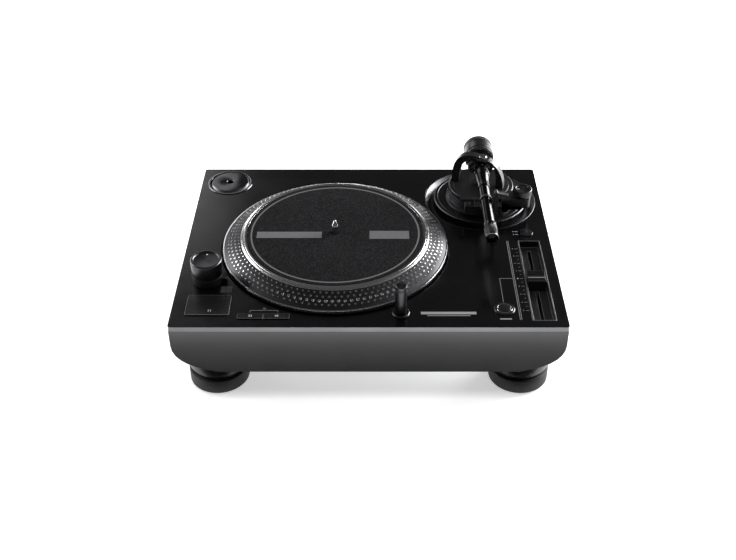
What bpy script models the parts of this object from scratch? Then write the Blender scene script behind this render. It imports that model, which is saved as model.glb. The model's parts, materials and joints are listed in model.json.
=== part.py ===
"""A compact direct-drive turntable for seven-inch records, built as its separate pieces.

Metres, +Z up. X runs along the wide front, Y from front to back. The origin is on the floor,
under the middle of the top plate. Heights of what stands on the plate are counted from TOP.
"""

import math

import bmesh
import bpy
from mathutils import Matrix

# ---------------------------------------------------------------- driving sizes
GAP = 0.0003            # clearance left between pieces that meet

TOP = 0.092             # top face of the plate above the floor
PLATE_WIDTH = 0.370
PLATE_DEPTH = 0.2814
PLATE_THICK = 0.0051
PLATE_CORNER = 0.003

PLINTH_INSET = 0.0004   # the plinth stands this far inside the plate, front and back
PLINTH_HEIGHT = 0.0493
PLINTH_WALL = 0.004
PLINTH_SHOULDER = 0.017  # height of the straight side above the curved corner
PLINTH_CORNER = 0.042   # width of the curved corner, from the side to the flat underside
COVER_WIDTH = 0.230
COVER_DEPTH = 0.220
COVER_THICK = 0.003

FOOT_RADIUS = 0.02925
FOOT_INSET_X = 0.037    # from the plate's side to the foot's middle
FOOT_INSET_Y = 0.0387
FOOT_PAD = 0.016        # rubber disc on the floor
FOOT_GROOVE = 0.006
FOOT_GROOVE_DEPTH = 0.0028
FOOT_STUD_RADIUS = 0.009
FOOT_STUD = 0.010

PLATTER_X = -0.034
PLATTER_Y = -0.0093
PLATTER_RADIUS = 0.1134
PLATTER_LIP = 0.0045    # height of the outer lip above the plate
PLATTER_LIP_WIDTH = 0.0014
PLATTER_RIM = 0.0160    # height of the bright inner rim
PLATTER_BAND = 0.0173   # width of the sloping strobe band
PLATTER_RIM_WIDTH = 0.0053
PLATTER_SKIRT = 0.007   # how far the edge hangs below the plate's top
PLATTER_WALL = 0.005
RECESS_GAP = 0.0024     # open ring between platter and plate
WELL_WALL = 0.0012
WELL_DEPTH = 0.016
MAT_SLACK = 0.0004      # open ring left round the mat
MAT_THICK = 0.0022
SPINDLE_RADIUS = 0.0036
SPINDLE_STRAIGHT = 0.0086  # straight part above the mat
SPINDLE_CONE = 0.0058
SPINDLE_BELOW = 0.038
HUB_RADIUS = 0.022
STATOR_RADIUS = 0.0385
MAGNET_THICK = 0.008
AIR_GAP = 0.0015

ADAPTER_INSET_X = 0.0312
ADAPTER_INSET_Y = 0.0292
ADAPTER_RADIUS = 0.0213
ADAPTER_FACE = 0.0192
ADAPTER_PROUD = 0.0016
CUP_DEPTH = 0.008
CUP_WALL = 0.001
CUP_FLANGE = 0.0018

TOWER_INSET_X = 0.029
TOWER_INSET_Y = 0.0727
TOWER_RADIUS = 0.01515
TOWER_HEIGHT = 0.009
KNOB_HEIGHT = 0.0157
KNOB_PIN_RADIUS = 0.004
KNOB_PIN = 0.005
TOWER_SPIGOT = 0.012
TOWER_BELOW = 0.014     # how far the spigot reaches below the plate's top
LENS_WIDTH = 0.009
LENS_DEPTH = 0.006
LENS_HEIGHT = 0.0045
LENS_RISE = 0.0012
LENS_SEAT = 0.003       # how deep the lens sits inside the tower

START_WIDTH = 0.0416
START_DEPTH = 0.0301
START_INSET_X = 0.0341
START_INSET_Y = 0.0324
SPEED_WIDTH = 0.0242
SPEED_DEPTH = 0.0072
SPEED_INSET_X = 0.0872  # from the plate's left side to the line between the two buttons
SPEED_INSET_Y = 0.0157
BUTTON_PROUD = 0.0011
BUTTON_DEEP = 0.0045

LIGHT_X = 0.030
LIGHT_INSET_Y = 0.0207
LIGHT_RADIUS = 0.0055
LIGHT_HEIGHT = 0.033
LIGHT_PLUG = 0.010
COLLAR_RADIUS = 0.00835
COLLAR_HEIGHT = 0.0019
COLLAR_WALL = 0.0009

FADER_INSET_X = 0.0219
FADER_INSET_Y = 0.0750  # from the front edge to the middle of the fader
FADER_WIDTH = 0.0224
FADER_LENGTH = 0.1300
FADER_DEPTH = 0.008
FADER_WALL = 0.0012
FADER_SLOT = 0.0032
FADER_SLOT_LENGTH = 0.114
CAP_WIDTH = 0.0178
CAP_LENGTH = 0.020
CAP_TOP = 0.0036
CAP_STEM = 0.0012
CAP_STEM_LENGTH = 0.008
TRACK_HEIGHT = 0.013
TRACK_WIDTH = 0.012

RESET_INSET_X = 0.0577
RESET_INSET_Y = 0.0269
RESET_RADIUS = 0.0060
RESET_RING_RADIUS = 0.00985
RESET_RING_HEIGHT = 0.0012
RANGE_INSET_X = 0.0225
RANGE_Y = 0.0126
RANGE_RADIUS = 0.0067

ARM_INSET_X = 0.0652    # from the plate's right side to the tonearm's pivot
ARM_INSET_Y = 0.0628    # from the plate's back edge to the pivot
DISH_RADIUS = 0.0596
DISH_BEVEL = 0.0068
DISH_DEPTH = 0.0065
DISH_FLOOR = 0.0025
RING_RADIUS = 0.0497
RING_TOP = 0.003
DECK_RADIUS = 0.0345
BASE_STEP = 0.0028      # how far the base stands out from under the deck
DECK_TOP = 0.0195
BASE_STEM_RADIUS = 0.0307
BASE_STEM = 0.028

ARM_HEIGHT = 0.041      # arm tube's axis above the plate
ARM_OFFSET = 0.0018     # the parked tube lies this far left of the pivot
TUBE_RADIUS = 0.0051
CONE_RADIUS = 0.0078
CONE_START = 0.0056     # distances along the arm, ahead of the pivot
CONE_END = 0.0415
TUBE_END = 0.1129
COLLAR_START = 0.1109
COLLAR_END = 0.1349
LOCK_RADIUS = 0.00645
LOCK_WALL = 0.00105
SOCKET_FACE = 0.1284
PIN_LENGTH = 0.0015
PIN_RADIUS = 0.0005
PIN_SPREAD = 0.0018     # from the tube's axis, across and up
CLIP_STATION = 0.0660   # where the parked tube lies in its rest
CLIP_RING = 0.0011
BLOCK_WIDTH = 0.013
BLOCK_HEIGHT = 0.0084
BLOCK_BACK = 0.007
SHAFT_RADIUS = 0.0046
SHAFT_END = 0.048
DIAL_START = 0.0141     # distances along the arm, behind the pivot
DIAL_RADIUS = 0.0152
DIAL_THICK = 0.004
WEIGHT_RADIUS = 0.0156
WEIGHT_THICK = 0.0205
WEIGHT_RECESS = 0.009   # width of the face left round the hollow at the back
WEIGHT_HOLLOW = 0.008   # depth of that hollow

GIMBAL_HALF = 0.0125
GIMBAL_RISE = 0.0068
GIMBAL_BAR = 0.003
GIMBAL_THICK = 0.006
GIMBAL_CHAMFER = 0.004
GIMBAL_POST_RADIUS = 0.003
SCREW_RADIUS = 0.0022
SCREW_PROUD = 0.0015

YOKE_TURN = math.radians(-18)
YOKE_RISE = 0.0138      # top of the left shoulder above the arm's axis
YOKE_RIGHT_RISE = 0.0112  # and of the lower right limb
YOKE_ROOF = 0.0087      # underside above the arm's axis
YOKE_LEFT = 0.0315
YOKE_RIGHT = 0.0245
YOKE_LEFT_INNER = 0.0235
YOKE_RIGHT_INNER = 0.0165
YOKE_THICK = 0.0085
YOKE_BOSS_RADIUS = 0.0072
YOKE_BOSS_STEP = 0.0006  # the boss starts this far above the underside
CAP_SCREW_RADIUS = 0.004
CAP_SCREW_PROUD = 0.0016
CAP_SCREW_PIN = 0.0015

BRACKET_LEFT = 0.0200   # cue bracket: how far it reaches left and right of the pivot
BRACKET_RIGHT = 0.0180
BRACKET_DEPTH = 0.009
BRACKET_LOW = 0.0105
BRACKET_HIGH = 0.0190
LIFT_POST_X = 0.0120    # left of the pivot
LIFT_POST_RADIUS = 0.0024
LIFT_BAR = 0.026
LIFT_BAR_DEPTH = 0.004
LIFT_BAR_THICK = 0.002
LIFT_BAR_TOP = 0.0260
LEVER_HUB_RADIUS = 0.0035
LEVER_LENGTH = 0.0175
LEVER_RADIUS = 0.0017

REST_POST_X = 0.0060    # right of the pivot
REST_POST_WIDTH = 0.0042
REST_POST_RISE = 0.0065  # top of the post above the tube's axis
REST_DEPTH = 0.007
REST_SHELF_THICK = 0.003
REST_ARM_THICK = 0.004
CLIP_HUB_RADIUS = 0.0020
CLIP_LENGTH = 0.0125
CLIP_THICK = 0.0018
CLIP_OPEN = math.radians(-15)

SKATE_OUT = 0.0062      # anti-skate knob's middle, outside the deck's edge
SKATE_BACK = 0.0076     # and behind the deck's front edge
SKATE_RADIUS = 0.0098
SKATE_HEIGHT = 0.0080
SKATE_HOUSING_WIDTH = 0.0300
SKATE_HOUSING_DEPTH = 0.0190
SKATE_HOUSING_LOW = 0.0115
SKATE_HOUSING_RISE = 0.0027  # top of the housing above the deck
SKATE_HOUSING_RIGHT = 0.008  # how far the housing reaches right of the knob's middle

PANEL_WIDTH = 0.150
PANEL_HEIGHT = 0.034
PANEL_THICK = 0.002
PANEL_LIP = 0.004
INLET_WIDTH = 0.030
INLET_HEIGHT = 0.022
INLET_CAVITY_WIDTH = 0.024
INLET_CAVITY_HEIGHT = 0.016
INLET_LENGTH = 0.020
INLET_WALL = 0.0012
INLET_FLANGE = 0.0015
INLET_X = -0.050
JACK_RADIUS = 0.0042
JACK_BORE = 0.0016
JACK_LENGTH = 0.015
JACK_PROUD = 0.0042     # how far the sockets stand behind the panel
JACK_X = 0.030
JACK_SPACING = 0.016
GROUND_X = 0.058
GROUND_RADIUS = 0.0045

BLADE_SPACING = 0.007
BLADE_WIDTH = 0.002
BLADE_HEIGHT = 0.004
BLADE_LENGTH = 0.014

BOARD_LOW = (-0.030, -0.105)     # control board, two opposite corners
BOARD_HIGH = (0.060, -0.045)
BOARD_RISE = 0.009
BOARD_THICK = 0.0016
BOARD_POST_INSET = 0.006
BOARD_POST_RADIUS = 0.003
SUPPLY_LOW = (-0.108, 0.045)     # supply, two opposite corners
SUPPLY_HIGH = (-0.058, 0.100)
SUPPLY_HEIGHT = 0.028
SUPPLY_LID_INSET = 0.007
SUPPLY_LID = 0.004

# ---------------------------------------------------------------- places worked out from them
LEFT = -PLATE_WIDTH / 2
RIGHT = PLATE_WIDTH / 2
FRONT = -PLATE_DEPTH / 2
BACK = PLATE_DEPTH / 2
PLATE_UNDER = TOP - PLATE_THICK
PLINTH_TOP = PLATE_UNDER - GAP
PLINTH_UNDER = PLINTH_TOP - PLINTH_HEIGHT
PLINTH_FLOOR = PLINTH_UNDER + PLINTH_WALL
RECESS_RADIUS = PLATTER_RADIUS + RECESS_GAP
MAT_RADIUS = PLATTER_RADIUS - PLATTER_LIP_WIDTH - PLATTER_BAND - PLATTER_RIM_WIDTH - MAT_SLACK
BASE_RADIUS = DECK_RADIUS + BASE_STEP
ARM_X = RIGHT - ARM_INSET_X
ARM_Y = BACK - ARM_INSET_Y
ARM_Z = TOP + ARM_HEIGHT
YOKE_TOP = ARM_HEIGHT + YOKE_RISE
YOKE_HUB = ARM_HEIGHT + YOKE_RIGHT_RISE
YOKE_INNER_TOP = ARM_HEIGHT + YOKE_ROOF
TUBE_X = ARM_X - ARM_OFFSET
TOWER = (LEFT + TOWER_INSET_X, FRONT + TOWER_INSET_Y)
ADAPTER = (LEFT + ADAPTER_INSET_X, BACK - ADAPTER_INSET_Y)
START = (LEFT + START_INSET_X, FRONT + START_INSET_Y)
SPEED_MIDDLE = LEFT + SPEED_INSET_X
SPEED_Y = FRONT + SPEED_INSET_Y
LIGHT = (LIGHT_X, FRONT + LIGHT_INSET_Y)
FADER = (RIGHT - FADER_INSET_X, FRONT + FADER_INSET_Y)
RESET = (RIGHT - RESET_INSET_X, FRONT + RESET_INSET_Y)
RANGE = (RIGHT - RANGE_INSET_X, RANGE_Y)
SKATE = (ARM_X + DECK_RADIUS + SKATE_OUT, ARM_Y - DECK_RADIUS + SKATE_BACK)
CUP_INNER = ADAPTER_RADIUS + 2 * GAP
CUP_OUTER = CUP_INNER + CUP_WALL
SOCKET_OUTER = LIGHT_RADIUS + GAP + COLLAR_WALL

for old in list(bpy.data.objects):
    bpy.data.objects.remove(old, do_unlink=True)

PARTS = bpy.data.collections.new("turntable")
CUTTERS = bpy.data.collections.new("cutters")
bpy.context.scene.collection.children.link(PARTS)
bpy.context.scene.collection.children.link(CUTTERS)


# ---------------------------------------------------------------- materials
def material(name, colour, roughness, metallic=0.0):
    """A Principled material of one colour."""
    made = bpy.data.materials.new(name)
    made.use_nodes = True
    shader = made.node_tree.nodes["Principled BSDF"]
    shader.inputs["Base Color"].default_value = (*colour, 1.0)
    shader.inputs["Roughness"].default_value = roughness
    shader.inputs["Metallic"].default_value = metallic
    return made


PLATE_BLACK = material("plate_black", (0.012, 0.012, 0.013), 0.42)
CASE_GREY = material("case_grey", (0.035, 0.035, 0.037), 0.38)
RUBBER = material("foot_rubber", (0.02, 0.02, 0.02), 0.75)
ALLOY = material("turned_alloy", (0.55, 0.55, 0.56), 0.28, 1.0)
BLACK_ALLOY = material("black_alloy", (0.03, 0.03, 0.032), 0.35, 1.0)
CHROME = material("chrome", (0.75, 0.75, 0.77), 0.12, 1.0)
FELT = material("mat_felt", (0.025, 0.025, 0.026), 0.95)
BLACK_PLASTIC = material("black_plastic", (0.015, 0.015, 0.016), 0.4)
STEEL = material("steel", (0.45, 0.45, 0.46), 0.4, 1.0)
MAGNET = material("magnet", (0.06, 0.06, 0.06), 0.6)
COPPER = material("copper", (0.6, 0.28, 0.12), 0.4, 1.0)
BOARD = material("circuit_board", (0.02, 0.12, 0.05), 0.5)
CLEAR = material("lamp_lens", (0.5, 0.1, 0.08), 0.1)


# ---------------------------------------------------------------- making shapes
def place(name, mesh, finish, location=(0, 0, 0), turn=(0, 0, 0)):
    """Puts a mesh in the scene as one named piece."""
    piece = bpy.data.objects.new(name, mesh)
    mesh.name = name
    mesh.materials.clear()
    mesh.materials.append(finish)
    piece.location = location
    piece.rotation_euler = turn
    PARTS.objects.link(piece)
    return piece


def circle(x, y, radius, sides=48):
    """An outline of points around a circle."""
    steps = [2 * math.pi * k / sides for k in range(sides)]
    return [(x + radius * math.cos(a), y + radius * math.sin(a)) for a in steps]


def rounded(x, y, width, depth, radius, steps=3):
    """A rectangle about (x, y) whose corners are quarter circles."""
    outline = []
    for quarter, (sx, sy) in enumerate([(1, 1), (-1, 1), (-1, -1), (1, -1)]):
        middle = (x + sx * (width / 2 - radius), y + sy * (depth / 2 - radius))
        for k in range(steps + 1):
            angle = math.pi / 2 * (quarter + k / steps)
            outline.append((middle[0] + radius * math.cos(angle), middle[1] + radius * math.sin(angle)))
    return outline


def slab(outlines, low, high):
    """A flat sheet between two heights. The first outline is its edge, the others are holes."""
    curve = bpy.data.curves.new("outline", "CURVE")
    curve.dimensions = "2D"
    curve.fill_mode = "BOTH"
    curve.extrude = (high - low) / 2
    for outline in outlines:
        spline = curve.splines.new("POLY")
        spline.points.add(len(outline) - 1)
        for point, (x, y) in zip(spline.points, outline):
            point.co = (x, y, 0, 1)
        spline.use_cyclic_u = True
    guide = bpy.data.objects.new("outline", curve)
    CUTTERS.objects.link(guide)
    graph = bpy.context.evaluated_depsgraph_get()
    mesh = bpy.data.meshes.new_from_object(guide.evaluated_get(graph))
    bpy.data.objects.remove(guide)
    shape = bmesh.new()
    shape.from_mesh(mesh)
    bmesh.ops.remove_doubles(shape, verts=shape.verts, dist=1e-6)
    bmesh.ops.translate(shape, verts=shape.verts, vec=(0, 0, (high + low) / 2))
    bmesh.ops.recalc_face_normals(shape, faces=shape.faces)
    shape.to_mesh(mesh)
    shape.free()
    return mesh


def block(size, middle):
    """A box of a size about its middle."""
    mesh = bpy.data.meshes.new("block")
    shape = bmesh.new()
    bmesh.ops.create_cube(shape, size=1.0, matrix=Matrix.Translation(middle) @ Matrix.Diagonal((*size, 1)))
    shape.to_mesh(mesh)
    shape.free()
    return mesh


def span(low, high):
    """A box from one corner to the opposite one."""
    size = [b - a for a, b in zip(low, high)]
    middle = [(a + b) / 2 for a, b in zip(low, high)]
    return block(size, middle)


def rod(radius, start, end, sides=20):
    """A round bar between two points."""
    mesh = bpy.data.meshes.new("rod")
    shape = bmesh.new()
    along = [b - a for a, b in zip(start, end)]
    length = math.dist(start, end)
    turn = Matrix.Identity(3)
    if abs(along[2]) < length * 0.999:
        side = (-along[1], along[0], 0.0)
        turn = Matrix.Rotation(math.acos(along[2] / length), 3, side)
    middle = [(a + b) / 2 for a, b in zip(start, end)]
    matrix = Matrix.Translation(middle) @ turn.to_4x4()
    bmesh.ops.create_cone(
        shape, cap_ends=True, segments=sides, radius1=radius, radius2=radius, depth=length, matrix=matrix
    )
    shape.to_mesh(mesh)
    shape.free()
    return mesh


def turned(name, profile, finish, location=(0, 0, 0), turn=(0, 0, 0), steps=48):
    """A turned piece. The profile (radius, height) runs down its outside; it starts and ends on
    the axis where the piece is solid, and closes on itself where the piece is a ring."""
    mesh = bpy.data.meshes.new(name)
    shape = bmesh.new()
    points = [shape.verts.new((radius, 0, height)) for radius, height in profile]
    for a, b in zip(points, points[1:]):
        shape.edges.new((a, b))
    if profile[0][0] > 0:
        shape.edges.new((points[-1], points[0]))
    shape.to_mesh(mesh)
    shape.free()
    piece = place(name, mesh, finish, location, turn)
    screw = piece.modifiers.new("turn", "SCREW")
    screw.steps = steps
    screw.render_steps = steps
    screw.use_merge_vertices = True
    screw.merge_threshold = 0.00001
    screw.use_smooth_shade = True
    return piece


def ring(inner, outer, low, high):
    """The profile of a plain ring."""
    return [(inner, high), (outer, high), (outer, low), (inner, low)]


def disc(radius, low, high):
    """The profile of a plain disc."""
    return [(0, high), (radius, high), (radius, low), (0, low)]


def helper(mesh, location=(0, 0, 0), turn=(0, 0, 0)):
    """An unseen shape that a Boolean reads."""
    tool = bpy.data.objects.new("tool", mesh)
    tool.location = location
    tool.rotation_euler = turn
    tool.hide_render = True
    tool.display_type = "WIRE"
    CUTTERS.objects.link(tool)
    return tool


def shape_with(piece, operation, mesh, location=(0, 0, 0), turn=(0, 0, 0)):
    """Cuts a mesh from a piece, or joins it on."""
    modifier = piece.modifiers.new(operation.lower(), "BOOLEAN")
    modifier.operation = operation
    modifier.solver = "EXACT"
    modifier.object = helper(mesh, location, turn)
    return piece


def cut(piece, mesh, location=(0, 0, 0), turn=(0, 0, 0)):
    return shape_with(piece, "DIFFERENCE", mesh, location, turn)


def join(piece, mesh, location=(0, 0, 0), turn=(0, 0, 0)):
    return shape_with(piece, "UNION", mesh, location, turn)


UPRIGHT = (math.pi / 2, 0, 0)   # turns a flat outline so that its Y is up and its Z points forward
AHEAD = (math.pi / 2, 0, 0)     # lays a turned piece along -Y, so that its height runs forward
BEHIND = (-math.pi / 2, 0, 0)   # and this one along +Y


# ---------------------------------------------------------------- case
def top_plate():
    holes = [
        circle(PLATTER_X, PLATTER_Y, RECESS_RADIUS, 56),
        circle(ARM_X, ARM_Y, DISH_RADIUS + GAP, 48),
        circle(*ADAPTER, CUP_OUTER + GAP, 36),
        circle(*TOWER, TOWER_SPIGOT + GAP, 24),
        circle(*LIGHT, SOCKET_OUTER + GAP, 20),
        circle(*RESET, RESET_RADIUS + GAP, 20),
        circle(*RANGE, RANGE_RADIUS + GAP, 20),
        rounded(*START, START_WIDTH + 2 * GAP, START_DEPTH + 2 * GAP, 0.001, 1),
        rounded(SPEED_MIDDLE, SPEED_Y, 2 * SPEED_WIDTH + 3 * GAP, SPEED_DEPTH + 2 * GAP, 0.0005, 1),
        rounded(*FADER, FADER_WIDTH + 2 * GAP, FADER_LENGTH + 2 * GAP, 0.0005, 1),
    ]
    edge = rounded(0, 0, PLATE_WIDTH, PLATE_DEPTH, PLATE_CORNER)
    place("top_plate", slab([edge, *holes], PLATE_UNDER, TOP), PLATE_BLACK)


def plinth_section(half, top, shoulder, under, corner, steps=7):
    """Front view of the plinth: straight sides that turn under in a long quadratic curve."""
    side = []
    start, bend, end = (half, shoulder), (half, under + 0.008), (half - corner, under)
    for k in range(steps + 1):
        t = k / steps
        weights = ((1 - t) ** 2, 2 * t * (1 - t), t**2)
        side.append(tuple(sum(w * p[i] for w, p in zip(weights, (start, bend, end))) for i in range(2)))
    right = [(half, top), *side]
    return right + [(-x, z) for x, z in reversed(right)]


def plinth():
    half_depth = PLATE_DEPTH / 2 - PLINTH_INSET
    half = PLATE_WIDTH / 2 - PLINTH_INSET
    shoulder = PLINTH_TOP - PLINTH_SHOULDER
    outside = plinth_section(half, PLINTH_TOP, shoulder, PLINTH_UNDER, PLINTH_CORNER)
    inside = plinth_section(half - PLINTH_WALL, TOP, shoulder, PLINTH_FLOOR, PLINTH_CORNER - 0.001)
    piece = place("plinth", slab([outside], -half_depth, half_depth), CASE_GREY, turn=UPRIGHT)
    hollow = half_depth - PLINTH_WALL
    cut(piece, slab([inside], -hollow, hollow), turn=UPRIGHT)
    opening = rounded(0, 0, COVER_WIDTH + 2 * GAP, COVER_DEPTH + 2 * GAP, 0.002, 1)
    cut(piece, slab([opening], PLINTH_UNDER - 0.01, PLINTH_FLOOR + 0.01))
    for x, y in foot_places():
        cut(piece, slab([circle(x, y, FOOT_STUD_RADIUS + GAP, 24)], 0, PLINTH_FLOOR + 0.02))
    window = rounded(0, panel_middle(), PANEL_WIDTH, PANEL_HEIGHT, 0.001, 1)
    cut(piece, slab([window], -BACK - 0.01, -BACK + 0.01), turn=UPRIGHT)


def bottom_cover():
    edge = rounded(0, 0, COVER_WIDTH, COVER_DEPTH, 0.002, 1)
    place("bottom_cover", slab([edge], PLINTH_UNDER, PLINTH_UNDER + COVER_THICK), STEEL)


def foot_places():
    x, y = RIGHT - FOOT_INSET_X, BACK - FOOT_INSET_Y
    return [(-x, -y), (x, -y), (-x, y), (x, y)]


def feet():
    """Each foot is a rubber-faced disc on a threaded stud, so it can be screwed out to level the case."""
    names = ["foot_front_left", "foot_front_right", "foot_rear_left", "foot_rear_right"]
    high = PLINTH_UNDER - GAP
    waist = FOOT_RADIUS - FOOT_GROOVE_DEPTH
    profile = [
        (0, high + FOOT_STUD), (FOOT_STUD_RADIUS, high + FOOT_STUD), (FOOT_STUD_RADIUS, high),
        (FOOT_RADIUS - 0.002, high), (FOOT_RADIUS, high - 0.002), (FOOT_RADIUS, FOOT_PAD + FOOT_GROOVE),
        (waist, FOOT_PAD + FOOT_GROOVE), (waist, FOOT_PAD), (FOOT_RADIUS, FOOT_PAD),
        (FOOT_RADIUS, 0.0015), (FOOT_RADIUS - 0.0015, 0), (0, 0),
    ]
    for name, (x, y) in zip(names, foot_places()):
        turned(name, profile, RUBBER, (x, y, 0), steps=24)


# ---------------------------------------------------------------- back panel
def panel_middle():
    return (PLINTH_TOP + PLINTH_FLOOR) / 2


def back_panel():
    """The plate behind the window in the rear wall, with its sockets. It faces backwards."""
    z = panel_middle()
    outside = BACK - PLINTH_INSET - PLINTH_WALL - GAP
    width, height = PANEL_WIDTH + 2 * PANEL_LIP, PANEL_HEIGHT + 2 * PANEL_LIP
    body = INLET_CAVITY_WIDTH + 2 * INLET_WALL, INLET_CAVITY_HEIGHT + 2 * INLET_WALL
    holes = [rounded(INLET_X, z, body[0] + 2 * GAP, body[1] + 2 * GAP, GAP / 3, 1)]
    holes += [circle(x, z, JACK_RADIUS + GAP, 16) for x in (*jack_places(), GROUND_X)]
    edge = rounded(0, z, width, height, 0.001, 1)
    place("back_panel", slab([edge, *holes], -outside, -outside + PANEL_THICK), BLACK_PLASTIC, turn=UPRIGHT)

    flange = outside + GAP
    inlet = place(
        "power_inlet",
        slab([rounded(INLET_X, z, INLET_WIDTH, INLET_HEIGHT, 0.002, 2)], -flange - INLET_FLANGE, -flange),
        BLACK_PLASTIC,
        turn=UPRIGHT,
    )
    join(inlet, block((body[0], INLET_LENGTH, body[1]), (INLET_X, flange + 0.0005 - INLET_LENGTH / 2, z)))
    cavity = (INLET_CAVITY_WIDTH, INLET_LENGTH, INLET_CAVITY_HEIGHT)
    cut(inlet, block(cavity, (INLET_X, flange + INLET_FLANGE + 0.003 - INLET_LENGTH / 2, z)))
    low = flange - INLET_LENGTH
    for x in (INLET_X - BLADE_SPACING, INLET_X, INLET_X + BLADE_SPACING):
        blade = span((x - BLADE_WIDTH / 2, low, z - BLADE_HEIGHT / 2),
                     (x + BLADE_WIDTH / 2, low + BLADE_LENGTH, z + BLADE_HEIGHT / 2))
        join(inlet, blade)

    seat = outside + JACK_PROUD - JACK_LENGTH
    for name, x in zip(("rca_jack_left", "rca_jack_right"), jack_places()):
        turned(name, ring(JACK_BORE, JACK_RADIUS, 0, JACK_LENGTH), CHROME, (x, seat, z), BEHIND, 20)
    turned("ground_post", disc(GROUND_RADIUS - 0.0005, 0, JACK_LENGTH), CHROME,
           (GROUND_X, seat, z), BEHIND, 16)


def jack_places():
    return JACK_X - JACK_SPACING / 2, JACK_X + JACK_SPACING / 2


# ---------------------------------------------------------------- platter and motor
def platter():
    at = (PLATTER_X, PLATTER_Y, TOP)
    rim = PLATTER_RADIUS - PLATTER_LIP_WIDTH - PLATTER_BAND
    bed = PLATTER_RIM + 0.0002 - MAT_THICK
    under = bed - PLATTER_WALL
    inner = PLATTER_RADIUS - PLATTER_WALL
    profile = [
        (SPINDLE_RADIUS + GAP, bed - GAP), (rim - PLATTER_RIM_WIDTH, bed - GAP),
        (rim - PLATTER_RIM_WIDTH, PLATTER_RIM), (rim - 0.0012, PLATTER_RIM), (rim, PLATTER_RIM - 0.001),
        (PLATTER_RADIUS - PLATTER_LIP_WIDTH, PLATTER_LIP), (PLATTER_RADIUS, PLATTER_LIP - 0.0003),
        (PLATTER_RADIUS, -PLATTER_SKIRT), (inner, -PLATTER_SKIRT), (inner, PLATTER_LIP - PLATTER_WALL),
        (rim + 0.002, under), (HUB_RADIUS, under), (HUB_RADIUS, -0.003), (SPINDLE_RADIUS + GAP, -0.003),
    ]
    turned("platter", profile, ALLOY, at, steps=48)
    turned("slipmat", ring(SPINDLE_RADIUS + GAP, MAT_RADIUS - GAP, bed, bed + MAT_THICK), FELT, at, steps=48)
    high = bed + MAT_THICK + SPINDLE_STRAIGHT
    spindle = [
        (0, high + SPINDLE_CONE), (0.0009, high + SPINDLE_CONE - 0.0004), (SPINDLE_RADIUS, high),
        (SPINDLE_RADIUS, -SPINDLE_BELOW), (0, -SPINDLE_BELOW),
    ]
    turned("spindle", spindle, CHROME, at, steps=24)
    magnet = STATOR_RADIUS + AIR_GAP
    turned("rotor_magnet", ring(magnet, magnet + MAGNET_THICK, -0.002, under - GAP), MAGNET, at, steps=40)


def platter_well():
    """A thin pan under the plate that keeps dust out of the case and carries the motor."""
    at = (PLATTER_X, PLATTER_Y, TOP)
    high = -PLATE_THICK - GAP
    outer = RECESS_RADIUS + 0.0014
    inner = RECESS_RADIUS - 0.0006
    pan = [
        (inner, high), (outer, high), (outer, -WELL_DEPTH - WELL_WALL), (0.012, -WELL_DEPTH - WELL_WALL),
        (0.012, -WELL_DEPTH), (inner, -WELL_DEPTH),
    ]
    turned("platter_well", pan, STEEL, at, steps=48)
    turned("motor_stator", ring(HUB_RADIUS + AIR_GAP, STATOR_RADIUS, -WELL_DEPTH + GAP, 0.001), COPPER, at,
           steps=36)
    seat = -WELL_DEPTH - WELL_WALL - GAP
    bore = SPINDLE_RADIUS + GAP
    bearing = [
        (bore, -0.0036), (0.009, -0.0036), (0.009, seat), (0.028, seat), (0.028, seat - 0.003),
        (0.009, seat - 0.003), (0.009, -SPINDLE_BELOW - 0.001), (bore, -SPINDLE_BELOW - 0.001),
    ]
    turned("motor_bearing", bearing, STEEL, at, steps=32)


def electronics():
    """The control board and the supply, each on its own posts above the bottom cover."""
    floor = PLINTH_UNDER + COVER_THICK + GAP
    under = floor + BOARD_RISE
    board = place("main_board", span((*BOARD_LOW, under), (*BOARD_HIGH, under + BOARD_THICK)), BOARD)
    for x in (BOARD_LOW[0] + BOARD_POST_INSET, BOARD_HIGH[0] - BOARD_POST_INSET):
        for y in (BOARD_LOW[1] + BOARD_POST_INSET, BOARD_HIGH[1] - BOARD_POST_INSET):
            join(board, rod(BOARD_POST_RADIUS, (x, y, floor), (x, y, under + BOARD_THICK / 2), 12))
    top = floor + SUPPLY_HEIGHT
    supply = place("power_supply", span((*SUPPLY_LOW, floor), (*SUPPLY_HIGH, top)), STEEL)
    lid_low = (SUPPLY_LOW[0] + SUPPLY_LID_INSET, SUPPLY_LOW[1] + SUPPLY_LID_INSET, top - SUPPLY_LID)
    lid_high = (SUPPLY_HIGH[0] - SUPPLY_LID_INSET, SUPPLY_HIGH[1] - SUPPLY_LID_INSET, top + SUPPLY_LID)
    join(supply, span(lid_low, lid_high))


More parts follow.
